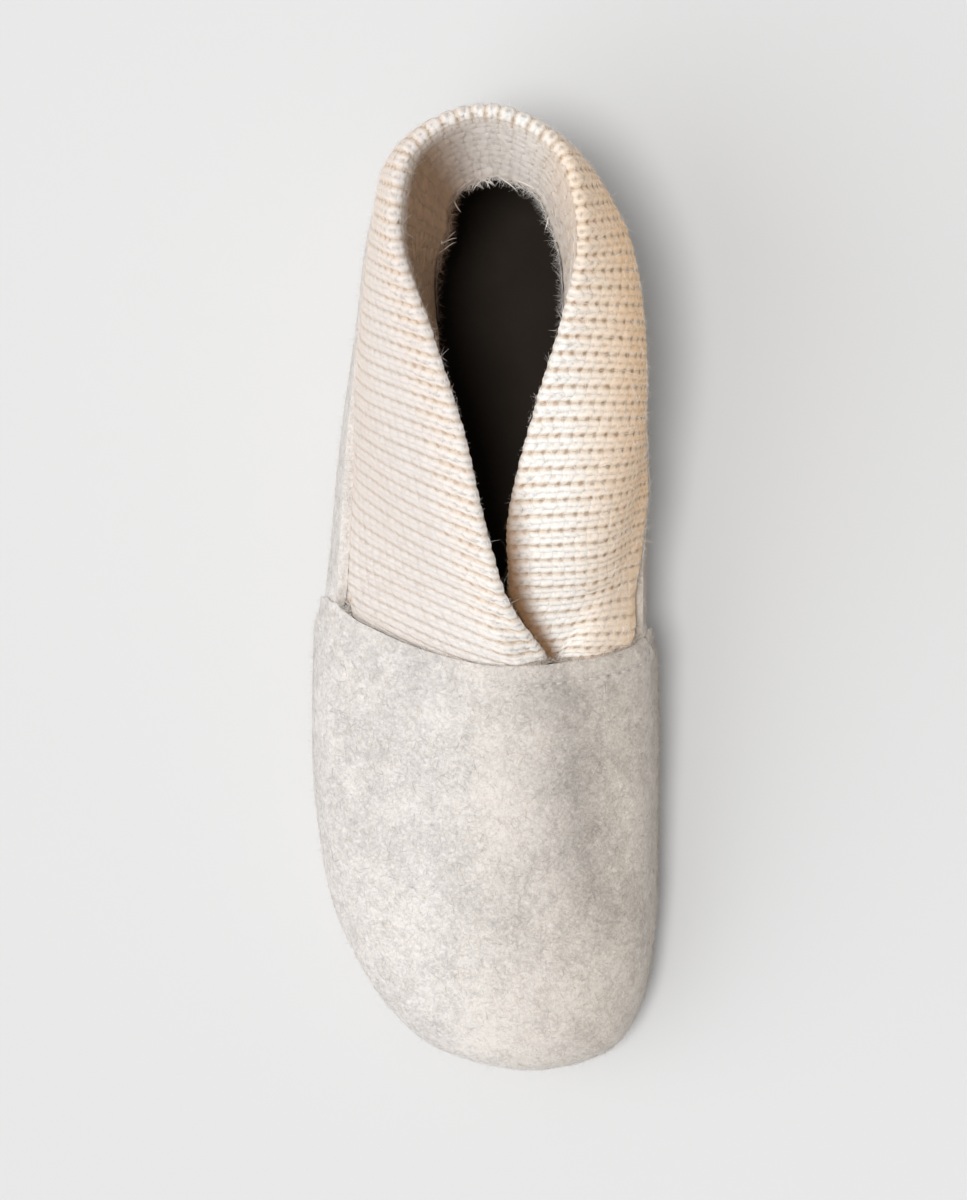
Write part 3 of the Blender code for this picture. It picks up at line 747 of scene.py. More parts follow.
def shaft_surface(u, v):
    """Middle layer of the knit band: u runs along it from the lateral end, v up from its lower edge."""
    along = (u - SHAFT_END_SHARE) / (1 - 2 * SHAFT_END_SHARE)
    past_end = np.clip(abs(u - 0.5) - 0.5 + SHAFT_END_SHARE, 0, None) / SHAFT_END_SHARE
    row = rib_course(np.clip(along, 0, 1))
    seam, mid, rim, sink = row[..., 0], row[..., 1:4], row[..., 4:7], row[..., 7]
    b = (np.clip(v - SHAFT_TUCK_SHARE, 0, None) / (1 - SHAFT_TUCK_SHARE))[..., None]
    tuck = np.clip(1 - v / SHAFT_TUCK_SHARE, 0, 1)
    start = felt_face(seam % 1, 1 - SHAFT_TUCK * tuck, -SHAFT_DEPTH)
    point = start * (1 - b) * (1 - 2 * b) + 4 * mid * b * (1 - b) + rim * b * (2 * b - 1)
    point[..., 2] -= sink * smooth_step((b[..., 0] - SINK_FROM) / (SINK_TO - SINK_FROM))
    slope = np.radians(SHAFT_TAIL_SLOPE)
    tail = SHAFT_TAIL * np.array([0, -np.cos(slope), -np.sin(slope)])
    tail_share = SHAFT_TAIL_LEAST + (1 - SHAFT_TAIL_LEAST) * smooth_step(b / 0.4)
    return point + past_end[..., None] * tail_share * tail


def by_side(lateral, y, at_y, on_lateral, on_medial):
    """A size that changes along the shoe, with a row of values for each side."""
    return np.where(lateral, np.interp(y, at_y, on_lateral), np.interp(y, at_y, on_medial))


class FoldedKnit:
    """The folded band's face: u runs along the band, s in mm from the rim, outside or, below 0, inside."""

    step = 0.5
    roll_steps = 13

    def __init__(self):
        self.lines = np.linspace(0, 1, 4 * WALES + 1)
        u, v = np.meshgrid(self.lines, np.linspace(1, LOWEST, 80), indexing="ij")
        middle = shaft_surface(u, v)
        nudge = 1e-3
        along = shaft_surface(np.clip(u + nudge, 0, 1), v) - shaft_surface(np.clip(u - nudge, 0, 1), v)
        upward = shaft_surface(u, np.clip(v + nudge, 0, 1)) - shaft_surface(u, v - nudge)
        out, up = unit(np.cross(upward, along)), unit(upward)
        from_end = np.minimum(u, 1 - u)
        swell = SEAM_SWELL * hump((v - SHAFT_TUCK_SHARE) / SEAM_SWELL_OVER)
        above_seam = smooth_step((v - SHAFT_TUCK_SHARE + 0.02) / SEAM_SWELL_OVER)
        end_swell = END_SWELL * smooth_step((END_SWELL_WITHIN - from_end) / END_SWELL_OVER)
        swell = np.maximum(swell, end_swell * above_seam)
        outside = middle + (SKIN + swell * smooth_step((1 - v) / 0.1))[..., None] * out
        puff = PUFF * smooth_step((u - PUFF_FROM_U) / 0.1) * smooth_step((PUFF_TO_U - u) / 0.08)
        puff = puff * hump((v - PUFF_HEIGHT) / PUFF_SPREAD) * smooth_step((1 - v) / 0.12)
        outside = outside + puff[..., None] * out
        bulge = by_side(u < 0.5, middle[..., 1], BULGE_AT_Y, BULGE_LATERAL, BULGE_MEDIAL)
        bulge = bulge * hump((v - BULGE_HEIGHT) / BULGE_SPREAD)
        outside = outside + bulge[..., None] * unit(out * (1, 1, 0))
        angles = np.linspace(0, np.pi, self.roll_steps)[None, :, None]
        roll = middle[:, :1] + SKIN * (np.cos(angles) * out[:, :1] + np.sin(angles) * up[:, :1])
        inside = self.hang(middle, out)
        path = np.concatenate([inside[:, :0:-1], roll[:, ::-1], outside[:, 1:]], axis=1)
        run = run_along(path)
        run = run - run[:, inside.shape[1] - 1 + self.roll_steps // 2, None]
        self.ends = run[:, -1]
        self.inside_ends = run[:, 0]
        self.low = self.inside_ends.min() - 1
        self.places = np.arange(self.low, self.ends.max() + 2, self.step)
        self.points = np.array(
            [[np.interp(self.places, s, line[:, axis]) for axis in range(3)] for s, line in zip(run, path)]
        ).transpose(0, 2, 1)
        along, down = np.gradient(self.points, axis=(0, 1))
        self.facing = unit(np.cross(along, down))

    def hang(self, middle, out):
        """The inner layer from the rim down: free round the heel, and lying on the outer layer in front."""
        rim = middle[:, :1]
        y = rim[..., 1]
        free = smooth_step((y - FREE_FROM_Y) / (FREE_FULL_Y - FREE_FROM_Y))
        self.free = free[:, 0]
        sag = by_side(self.lines[:, None] < 0.5, y, SAG_AT_Y, SAG_LATERAL, SAG_MEDIAL)
        depth = np.linspace(0, 1, 40)
        inward = unit(COLLAR_CENTRE - rim[..., :2])
        hanging = np.repeat(rim - SKIN * out[:, :1], len(depth), axis=1)
        hanging[..., :2] += inward * (sag * depth**1.15)[..., None]
        hanging[..., 2] -= np.sqrt(INSIDE_LENGTH**2 - sag**2) * depth
        rows = np.round(depth * 30).astype(int)
        lying = middle[:, rows] - SKIN * out[:, rows]
        return lying * (1 - free[..., None]) + hanging * free[..., None]

    def __call__(self, u, s):
        x = np.clip(u, 0, 1) * (len(self.lines) - 1)
        y = np.clip((s - self.low) / self.step, 0, len(self.places) - 1.001)
        i, j = np.minimum(x.astype(int), len(self.lines) - 2), y.astype(int)
        right, down = (x - i)[..., None], (y - j)[..., None]

        def between(table):
            near = table[i, j] * (1 - down) + table[i, j + 1] * down
            far = table[i + 1, j] * (1 - down) + table[i + 1, j + 1] * down
            return near * (1 - right) + far * right

        return between(self.points), unit(between(self.facing))

    def end(self, u):
        return np.interp(u, self.lines, self.ends)

    def inside_end(self, u):
        return np.interp(u, self.lines, self.inside_ends)

    def hangs(self, u):
        return np.interp(u, self.lines, self.free)


def rib_skew(u, s):
    """How far a rib has moved towards the heel at this distance from the rim."""
    return np.interp(u, SKEW_AT, SKEW) * np.clip(s, 0, None) / SKEW_OVER


def soft_yarn(shader):
    """Light passes a little way through wool and off its loose hairs, so its shade is soft and warm."""
    shader.inputs["Sheen Tint"].default_value = (*YARN_MEDIAL_TAN_SHADE, 1)
    shader.inputs["Subsurface Weight"].default_value = 0.25
    shader.inputs["Subsurface Radius"].default_value = (1.0, 0.85, 0.7)
    shader.inputs["Subsurface Scale"].default_value = 0.3 * MM


def yarn_finish():
    """Soft cream yarn, paler on the lateral side, with painted shade in the pits between the stitches and
    along the creases between the ribs, painted tan shade towards the medial side, and painted brown shade
    where the mesh marks it.
    """
    made, shader, wire = new_finish("cream yarn", 0.3)
    soft_yarn(shader)
    leg = wire.node("ShaderNodeAttribute", {"attribute_name": "leg"}, output="Vector")
    across, course, tone = (wire.node("ShaderNodeSeparateXYZ", None, {0: leg}, output=axis) for axis in "XYZ")
    closed = wire.mark("closed")
    cream = wire.from_x(WARM_FROM_X, WARM_TO_X).mix(YARN_PALE, YARN_WARM)
    # painted shade: tan towards the medial side
    cream = wire.mark("medial").mix(cream, YARN_MEDIAL_TAN_SHADE)

    def pit(aside, middle, stretch):
        """A round pit aside from the rib's line and at this place along each course."""
        turn = course - middle + 0.5 + (wobble - 0.5) * 0.6
        along = (turn.sum("FRACT", turn, 0) - 0.5) * COURSE * stretch
        aside = aside * RIB
        return (aside * aside + along * along).spread(0.62, 0.0)

    wobble = wire.grain(3.0, 1.0)
    from_line = across.sum("ABSOLUTE", across, 0) - 0.5
    between = pit(from_line, PIT_BETWEEN, 1 - closed * 0.6) * closed.spread(1.4, 0.0)
    in_rib = pit(across, PIT_IN_RIB, 1) * closed.spread(1.0, 0.0) * 0.45
    wisp = wire.grain(0.5, 3.0, 0.8)
    patchy = wire.grain(2.6, 2.0).spread(0.32, 0.62)
    # the pits are bumps and painted shade, both deeper towards the medial side
    depth = between.sum("MAXIMUM", between, in_rib) * (0.35 + 0.65 * patchy)
    depth = depth * (0.6 + 0.4 * wire.from_x(PITS_AND_SHADE_DEEPEN_FROM_X, PITS_AND_SHADE_DEEPEN_TO_X))
    # painted shade along the creases between the ribs, where the stitches are open
    line = (from_line * from_line).spread(0.06, 0.0)
    opened = closed.spread(1.5, 0.0)
    tone_and_crease_shade = tone * opened * 0.10 + (wisp.spread(0.3, 0.7) - 0.5) * 0.25 + line * opened * 0.55
    yarn = depth.mix(tone_and_crease_shade.mix(cream, YARN_TONE_AND_GROOVE_SHADE), YARN_PIT_SHADE)
    wire.mark("shade").mix(yarn, YARN_SHADE).feed(shader, "Base Color")
    (0.84 + 0.12 * wisp).feed(shader, "Roughness")
    (wisp * 0.7 - depth * 0.8).bumps(shader, 0.6, 0.25)
    return made


def sheet_finish():
    """The back loops that show between the stitches, in a grain of cream and painted groove shade."""
    made, shader, wire = new_finish("cream back loops", 0.2)
    soft_yarn(shader)
    loops = wire.grain(0.9, 3.0, 0.6)
    # part of the back loops in painted groove shade
    back = loops.spread(0.3, 0.7).mix(YARN_TONE_AND_GROOVE_SHADE, YARN_PALE)
    wire.mark("shade").mix(back, YARN_SHADE).feed(shader, "Base Color")
    (0.86 + 0.1 * loops).feed(shader, "Roughness")
    loops.bumps(shader, 0.6, 0.4)
    return made


def painted_inner_shade(u, s):
    """How far the inner layer is darkened brown by painted shade: its lateral half, from a little below the
    rim.
    """
    below = smooth_step((-INNER_SHADE_BELOW_RIM - s) / INNER_SHADE_OVER)
    return INNER_SHADE_MOST * smooth_step((INNER_SHADE_TO_U - u) / INNER_SHADE_OVER_U) * below


def painted_lap_shade(points):
    """How far the medial flap is darkened brown by painted shade where the lateral rim crosses over it."""
    rim = folded_knit(np.linspace(0, 0.35, 150), np.zeros(150))[0]
    near = np.min(np.linalg.norm(points[:, None, :2] - rim[:, :2], axis=-1), axis=1)
    reach = np.interp(points[:, 1], LAP_SHADE_AT_Y, LAP_SHADE)
    return smooth_step(1.4 * (1 - near / reach))


def sheet_run(u, v):
    """Distance from the rim of each point of the sheet, with its rows closer over the rim."""
    rough = np.array([ROUGH_EDGE * noise.noise((90 * x, 0, 0)) for x in u])
    s = np.interp(v, [0, 0.25, 0.40, 1.0], [0, 1, 2, 3])
    first = folded_knit.inside_end(u) + 1 + rough * folded_knit.hangs(u)
    places = np.where(s < 1, first - (RIM_ROLL + first) * s, RIM_ROLL * (2 * s - 3))
    return np.where(s > 2, RIM_ROLL + (folded_knit.end(u) - RIM_ROLL) * (s - 2), places)


def knit_sheet_place(u, v):
    places = sheet_run(u, v)
    points, facing = folded_knit(u, places)
    rib = np.cos(math.tau * WALES * (u - rib_skew(u, places)))
    return points - facing * (GROOVE / 2 * (1 + rib) * np.where(places < -2, 0.4, 1))[:, None]


def leg_shape():
    """One half of a stitch, a short round-ended length of yarn: points from -1 to 1 and triangles."""
    bm = bmesh.new()
    upright = Matrix.Rotation(math.radians(90), 3, "X")
    bmesh.ops.create_uvsphere(bm, u_segments=6, v_segments=6, radius=1, matrix=upright.to_4x4())
    bmesh.ops.triangulate(bm, faces=bm.faces)
    bm.verts.index_update()
    points = np.array([vert.co for vert in bm.verts])
    faces = np.array([[vert.index for vert in face.verts] for face in bm.faces])
    bm.free()
    y = points[:, 1]
    fuller = np.sqrt((1 - abs(y) ** 3.2) / np.maximum(1 - y**2, 1e-6))
    points[:, 0] *= fuller
    points[:, 2] *= fuller
    return points, faces


def closed_up(u, s):
    """0 where the stitches are open, 1 where they close into smooth ribs, and more inside, felted flat."""
    lateral = smooth_step((CLOSED_TO_U - u) / CLOSED_OVER_U) * smooth_step((s - OPEN_RIM) / OPEN_OVER)
    at_seam = smooth_step((s - folded_knit.end(u) + CLOSED_AT_SEAM) / CLOSED_SEAM_OVER)
    return np.maximum(np.maximum(lateral, at_seam), CLOSED_INSIDE * smooth_step(-s / CLOSED_OVER))


def knit_stitches(name, wales, low, high):
    """Rows of stitches, two leaning legs each, along these ribs between two distances from the rim."""
    shape, shape_faces = leg_shape()
    chance = np.random.default_rng(YARN_SEED)
    courses = np.arange(math.floor(folded_knit.low / COURSE), math.ceil(folded_knit.ends.max() / COURSE))
    wale, course, side = (part.ravel() for part in np.meshgrid(wales, courses, [-1, 1], indexing="ij"))
    middle_s = (course + 0.5) * COURSE
    middle_u = (wale + 0.5) / WALES
    middle_u = middle_u + rib_skew(middle_u, middle_s)
    kept = (middle_s > low(middle_u)) & (middle_s < high(middle_u))
    kept = kept & (abs(middle_u - 0.5) < 0.5 - END_RIBS_BARE / WALES)
    side, middle_s, middle_u = side[kept, None], middle_s[kept, None], middle_u[kept, None]
    count = len(side)
    x, y, z = shape.T
    closed = closed_up(middle_u, middle_s)

    def between(sizes):
        return sizes[0] + (sizes[1] - sizes[0]) * np.minimum(closed, CLOSED_SHAPE)

    fat = 1 + chance.uniform(-0.06, 0.06, (count, 1)) * np.clip(1.3 - closed, 0, 1)
    lift = chance.normal(0, 0.05, (count, 1)) * (1 - closed)
    slip = chance.normal(0, 0.12, (count, 1))
    apart = between(LEG_APART) - between(LEG_LEAN) * y
    width = between(LEG_WIDTH) + LEG_SPREAD_INSIDE * smooth_step((closed - 1) / 0.5)
    across = side * apart + x * width / 2 * fat
    along = middle_s + slip + y * between(LEG_LENGTH) / 2
    thick = between(LEG_THICKNESS)
    height = thick / 2 * z * fat - between(LEG_DIP) * y**2 + lift
    height = height + SCALLOP * hump((along - SCALLOP_AT) / SCALLOP_OVER) * np.cos(math.tau * across)
    lean = rib_skew(middle_u, along) - rib_skew(middle_u, middle_s)
    points, facing = folded_knit(middle_u + lean + across / WALES, along)
    points = points + facing * height[..., None]
    mesh = joined_mesh(points, shape_faces)
    leg = np.broadcast_arrays(across, along / COURSE, chance.uniform(0, 1, (count, 1)))
    carry(mesh, "leg", np.stack(leg, axis=-1))
    carry(mesh, "closed", np.broadcast_to(closed, across.shape))
    shade = painted_inner_shade(middle_u + across / WALES, along).ravel()
    if wales[0] >= WALES // 2:
        shade = np.maximum(shade, painted_lap_shade(points.reshape(-1, 3)))
    carry(mesh, "shade", shade)
    # painted tan shade on the medial side, which the yarn's finish reads as medial
    tan_shade_from = np.interp(points[..., 1], TAN_SHADE_AT_Y, TAN_SHADE_FROM_X)
    carry(mesh, "medial", np.clip((points[..., 0] - tan_shade_from) / TAN_SHADE_OVER, 0, 1))
    return new_piece(name, mesh, "rib_knit", cream_yarn)


def tubes(paths, radius, taper, sides=5):
    """Round lengths of yarn along these paths, as one mesh."""
    count, steps = paths.shape[:2]
    along = unit(np.gradient(paths, axis=1))
    side = unit(np.cross(along, np.array([0.3, 0.5, 0.8])))
    other = np.cross(along, side)
    angle = np.arange(sides)[:, None] * math.tau / sides
    ring = side[:, :, None] * np.cos(angle) + other[:, :, None] * np.sin(angle)
    points = paths[:, :, None] + radius * taper[:, None, None] * ring
    near = np.arange(steps * sides).reshape(steps, sides)
    near, far = near[:-1], near[1:]
    faces = np.stack([near, np.roll(near, -1, axis=1), np.roll(far, -1, axis=1), far], axis=-1)
    return joined_mesh(points.reshape(count, -1, 3), faces.reshape(-1, 4))


def loose_ends(count):
    """Frayed ends and loops of yarn on the inner layer's cut edge round the heel, half of it in a tuft."""
    chance = np.random.default_rng(YARN_SEED)
    in_tuft, tuft_u = chance.uniform(0, 1, count) < 0.5, chance.normal(TUFT_AT, TUFT_SPREAD, count)
    u = np.where(in_tuft, tuft_u, chance.uniform(*FRAYED, count))
    start = folded_knit.inside_end(u) + 2.0
    root, facing = folded_knit(u, start)
    down = unit(root - folded_knit(u, start + 3)[0])[:, None]
    aside = np.cross(facing, down[:, 0])[:, None]
    run = np.linspace(0, 1, 8)[None, :, None]
    reach, sway, hook = (chance.normal(0, size, (count, 1, 1)) for size in (1.2, 1.4, 2.0))
    paths = root[:, None] + down * (LOOSE_LENGTH + reach) * run + facing[:, None] * sway * run**2
    paths = paths + aside * hook * (run**2 - 0.4 * np.sin(1.6 * math.pi * run))
    mesh = tubes(paths, LOOSE_RADIUS, np.array([1, 1, 1, 0.9, 0.8, 0.7, 0.5, 0.15]))
    carry(mesh, "leg", np.tile([0.25, 0, 0.5], (len(mesh.vertices), 1)))
    carry(mesh, "closed", np.ones(len(mesh.vertices)))
    # the loose ends take half of the inner layer's painted shade
    carry(mesh, "shade", np.repeat(0.5 * painted_inner_shade(u, start), len(mesh.vertices) // count))
    return new_piece("knit_loose_ends", mesh, "rib_knit", cream_yarn)


def knit_hairs(count, edge_count):
    """Fine hairs that stand off the yarn, most of them short, and fray the inner layer's cut edge."""
    chance = np.random.default_rng(FIBRE_SEED)
    u = chance.uniform(0.005, 0.995, count)
    s = chance.uniform(-0.9 * INSIDE_LENGTH * folded_knit.hangs(u), 0.85 * folded_knit.end(u))
    edge_u = chance.uniform(0.3, 0.7, edge_count)
    s = np.concatenate([s, folded_knit.inside_end(edge_u) + chance.uniform(0, 1.5, edge_count)])
    u = np.concatenate([u, edge_u])
    at_edge = np.arange(len(u)) >= count
    roots, facing = folded_knit(u, s)
    roots = roots + facing * chance.uniform(0.4, 0.75, (len(u), 1))
    stray = chance.uniform(0, 1, len(u)) < np.where(at_edge, STRAY_HAIRS_AT_EDGE, STRAY_HAIRS)
    rises = np.where(stray, chance.uniform(*STRAY_STANDS, len(u)), chance.uniform(*HAIR_LIES, len(u)))
    lengths = np.where(stray, chance.uniform(*STRAY_LENGTH, len(u)), chance.uniform(*HAIR_LENGTH, len(u)))
    mesh = strands(roots, facing, lengths, rises, np.full(len(u), HAIR_WIDTH), chance)
    warm = np.clip((roots[:, :1] - WARM_FROM_X) / (WARM_TO_X - WARM_FROM_X), 0, 1)
    # the hairs carry the painted shade of the yarn under them, inside the collar and under the lap
    brown = np.maximum(painted_inner_shade(u, s), np.where(u > 0.5, painted_lap_shade(roots), 0))[:, None]
    colours = blend(blend(YARN_PALE, YARN_WARM, warm), YARN_SHADE, brown)
    colours = np.column_stack([colours * chance.uniform(0.95, 1.08, (len(u), 1)), np.ones(len(u))])
    carry(mesh, "wool", np.repeat(colours, 8, axis=0))
    return new_piece("knit_hairs", mesh, "rib_knit", wool_fibre)


folded_knit = FoldedKnit()
cream_yarn = yarn_finish()
cream_back = sheet_finish()
sheet_mesh = mesh_of(shaped_grid(4 * WALES, SHEET_ROWS, knit_sheet_place))
sheet_u, sheet_v = np.meshgrid(folded_knit.lines, np.linspace(0, 1, SHEET_ROWS + 1))
# painted shade on the sheet inside the collar
carry(sheet_mesh, "shade", painted_inner_shade(sheet_u.ravel(), sheet_run(sheet_u.ravel(), sheet_v.ravel())))
knit_sheet = new_piece("knit_sheet", sheet_mesh, "rib_knit", cream_back)
wall(knit_sheet, SHEET, SHEET_EDGE)
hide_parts("shaft")


def over_the_rim(u):
    return -2.0 + 0 * u


knit_stitches("knit_stitches_lateral", np.arange(-5, WALES // 2), over_the_rim, folded_knit.end)
knit_stitches("knit_stitches_medial", np.arange(WALES // 2, WALES + 4), over_the_rim, folded_knit.end)
hanging = np.array([wale for wale in range(WALES) if folded_knit.hangs((wale + 0.5) / WALES) > 0.3])
knit_stitches("knit_stitches_inside", hanging, folded_knit.inside_end, over_the_rim)
loose_ends(LOOSE_ENDS)
knit_hairs(KNIT_HAIRS, EDGE_HAIRS)


# Toe piece
# A second layer of the same felt laid over the toes and the instep, from the sole to a raw back edge.
# It is sewn down along its back edge with one row of machine stitches, and covers the ends of the knit.
VAMP_LOW = 0.035
VAMP_COLUMNS = 240
VAMP_ROWS = 104
VAMP_FIBRES = 31000
VAMP_EDGE_FIBRES = 1400
EDGE_ROLL = 2.4  # how far the back edge rolls down onto the knit
EDGE_ROLL_OVER = 6.0
EDGE_SHARE = 0.3  # the felt is shaved thin towards its back edge
EDGE_SHAVED = 5.0
SIDE_SHAVED = 9.0  # and thinner still down its two sides
SIDE_STANDS = 0.5
CORNER_CUT = 5.0
CORNER_OVER = 7.0
SEAM_FROM_EDGE = 4.8
STITCH = 2.8
SEAM_WIDTH = 0.8
SEAM_DEPTH = 0.24
NEEDLE_RADIUS = 0.5
# how strongly the painted shade in the needle holes shows, weaker towards the lateral side
NEEDLE_SHADE_AT_X, NEEDLE_SHADE_STRENGTH = (-15, 15), (0.25, 0.8)
THREAD = (0.68, 0.645, 0.61)
THREAD_SIZES = (0.24, 0.36 * STITCH, 0.2)  # half width, half length and half thickness of a stitch
THREAD_DIP = 0.25
EDGE_BAND = 8.0  # strip along the back edge with closer rows
EDGE_BAND_ROWS = 0.22  # share of the rows in that strip

# Soft hollows and swells of the felt over the toes: place, direction in degrees, length, width and height.
TOE_FOLDS = (
    (27, -58, 99, 44, 9, -2.5),
    (12, -74, 35, 30, 8, -0.4),
    (-20, -45, 95, 30, 11, 0.35),
    (4, -30, 5, 40, 7, -0.35),
)


def toe_folds(points):
    height = np.zeros(len(points))
    for x, y, turn, length, width, high in TOE_FOLDS:
        turn = math.radians(turn)
        along = (points[:, 0] - x) * math.cos(turn) + (points[:, 1] - y) * math.sin(turn)
        aside = (points[:, 1] - y) * math.cos(turn) - (points[:, 0] - x) * math.sin(turn)
        height += high * hump(along / length) * hump(aside / width)
    return height


def seam_height(p):
    return 1 - SEAM_FROM_EDGE / edge_speed(p)


def seam_stitches():
    """Where the needle went through, evenly along the seam, as places on the last."""
    p = np.linspace(toe_first, toe_last, 400)
    run = run_along(foot_surface(p, seam_height(p)))
    return np.interp(np.arange(STITCH / 2, run[-1], STITCH), run, p)


def from_side(p):
    """Distance from the nearer side of the toe piece, in mm along the last."""
    return np.minimum(p - toe_first, toe_last - p) * ring_run[-1]


def on_toe(p, t):
    """How far the toe piece's outer face stands off the last."""
    from_edge = (1 - t) * edge_speed(p)
    stands = SIDE_STANDS + (FELT - SIDE_STANDS) * smooth_step(from_side(p) / SIDE_SHAVED)
    roll = EDGE_ROLL * np.clip(1 - from_edge / EDGE_ROLL_OVER, 0, None) ** 2
    groove = SEAM_DEPTH * hump((from_edge - SEAM_FROM_EDGE) / SEAM_WIDTH)
    roll = roll * smooth_step(from_side(p) / SIDE_SHAVED)
    return GAP + stands + toe_folds(foot_surface(p, t)) - roll - groove


def toe_place(u, v):
    p = toe_first + (toe_last - toe_first) * u
    band = EDGE_BAND / edge_speed(p)
    main = np.clip(v / (1 - EDGE_BAND_ROWS), 0, 1) * (1 - band)
    t = np.where(v < 1 - EDGE_BAND_ROWS, main, 1 - band * (1 - v) / EDGE_BAND_ROWS)
    t = np.maximum(t, VAMP_LOW)
    t = t * (1 - CORNER_CUT * np.clip(1 - from_side(p) / CORNER_OVER, 0, 1) ** 2 / edge_speed(p))
    return felt_face(p, t, on_toe(p, t) + felt_relief(foot_surface(p, t)))


def seam_thread(needle_p):
    """One machine stitch after another, sunk in the felt."""
    shape, shape_faces = leg_shape()
    middle_p = (needle_p[:-1] + needle_p[1:]) / 2
    t = seam_height(middle_p)
    middle = felt_face(middle_p, t, on_toe(middle_p, t) + 0.02)
    along = unit(np.diff(felt_face(needle_p, seam_height(needle_p), 0 * needle_p), axis=0))
    facing = felt_lay(middle_p, t)[1]
    x, y, z = (part[:, None] * half for part, half in zip(shape.T, THREAD_SIZES))
    points = middle[:, None] + along[:, None] * y + np.cross(along, facing)[:, None] * x
    points = points + facing[:, None] * (z - THREAD_DIP * shape[:, 1:2] ** 2)
    mesh = joined_mesh(points, shape_faces)
    carry(mesh, "wool", np.tile([*THREAD, 1], (len(mesh.vertices), 1)))
    return new_piece("toe_seam_thread", mesh, "vamp_felt", wool_fibre)


toe_mesh = mesh_of(shaped_grid(VAMP_COLUMNS, VAMP_ROWS, toe_place))
toe_points = points_of(toe_mesh)
needle_p = seam_stitches()
needle_t = seam_height(needle_p)
needles = felt_face(needle_p, needle_t, on_toe(needle_p, needle_t))
nearest = np.min(np.linalg.norm(toe_points[:, None] - needles, axis=-1), axis=1)
carry(toe_mesh, "grey", grey_wool_and_painted_shading(toe_points))
# painted shade in the needle holes, patchy and weaker towards the lateral side
shows = np.interp(toe_points[:, 0], NEEDLE_SHADE_AT_X, NEEDLE_SHADE_STRENGTH) * (0.7 + 0.6 * lumps(toe_points, 5.0))
carry(toe_mesh, "needle", shows * hump(nearest / NEEDLE_RADIUS))
toe_felt = new_piece("toe_felt", toe_mesh, "vamp_felt", mottled_felt)
wall(toe_felt, FELT, FELT_EDGE_RADIUS)
shaved = toe_felt.vertex_groups.new(name="full thickness")
for row in range(VAMP_ROWS + 1):
    from_edge = EDGE_BAND * (1 - row / VAMP_ROWS) / EDGE_BAND_ROWS
    for column in range(VAMP_COLUMNS + 1):
        side_share = from_side(toe_first + (toe_last - toe_first) * column / VAMP_COLUMNS) / SIDE_SHAVED
        share = min(from_edge / EDGE_SHAVED, side_share, 1)
        shaved.add([row * (VAMP_COLUMNS + 1) + column], max(share, 0), "REPLACE")
toe_felt.modifiers["wall"].vertex_group = shaved.name
toe_felt.modifiers["wall"].thickness_vertex_group = EDGE_SHARE
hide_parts("vamp")
seam_thread(needle_p)
felt_nap("toe_felt_nap", "vamp_felt", toe_first, toe_last, VAMP_LOW, on_toe, VAMP_FIBRES, VAMP_EDGE_FIBRES)


# Footbed
# A smooth sheet of dark brown felt on a thin foam, cut to the inside of the felt foot.
# It lies loose on the sole and is pressed a little hollow under the heel and the ball of the foot.
FOOTBED_THICKNESS = 3.0
FOOTBED_MARGIN = 1.0
FOOTBED_EDGE = 0.7
FOOTBED_CUT = 6.0
# the footbed's brown is darkened further as painted shade for the deep inside of the boot
FOOTBED_BROWN_AND_SHADE = (0.027, 0.020, 0.015)
FOOTBED_WORN_AND_SHADE = (0.034, 0.026, 0.019)
OUTLINE_POINTS = 216

# Pressed hollows: place, half width, half length and depth.
HOLLOWS = ((2, 88, 20, 24, 0.8), (4, -40, 28, 26, 0.6), (26, -88, 11, 12, 0.4))


def plan_slab(outline, thickness, cut, steps=()):
    """A flat slab of this outline, cut both ways so that it can bend. Steps go inward under it and up."""
    bm = bmesh.new()
    floor = bm.faces.new([bm.verts.new((x * MM, y * MM, 0)) for x, y in outline])
    raised = bmesh.ops.extrude_face_region(bm, geom=[floor])["geom"]
    tops = [item for item in raised if isinstance(item, bmesh.types.BMVert)]
    bmesh.ops.translate(bm, verts=tops, vec=(0, 0, thickness * MM))
    bmesh.ops.recalc_face_normals(bm, faces=bm.faces)
    under = next(face for face in bm.faces if face.normal.z < -0.9)
    for inward, upward in steps:
        bmesh.ops.inset_region(bm, faces=[under], thickness=inward * MM, use_boundary=True)
        bmesh.ops.translate(bm, verts=under.verts, vec=(0, 0, upward * MM))
    for axis in (0, 1):
        half = HALF_LENGTH if axis else HALF_BALL
        for place in np.arange(cut - half, half, cut):
            across = Vector((1 - axis, axis, 0))
            whole = bm.verts[:] + bm.edges[:] + bm.faces[:]
            bmesh.ops.bisect_plane(bm, geom=whole, plane_co=across * place * MM, plane_no=across)
    return bm


def soften_corners(bm, radius):
    corners = [edge for edge in bm.edges if edge.calc_face_angle(0) > math.radians(60)]
    rounding = {"segments": 3, "profile": 0.5, "affect": "EDGES", "material": -1, "clamp_overlap": True}
    bmesh.ops.bevel(bm, geom=corners, offset=radius * MM, **rounding)


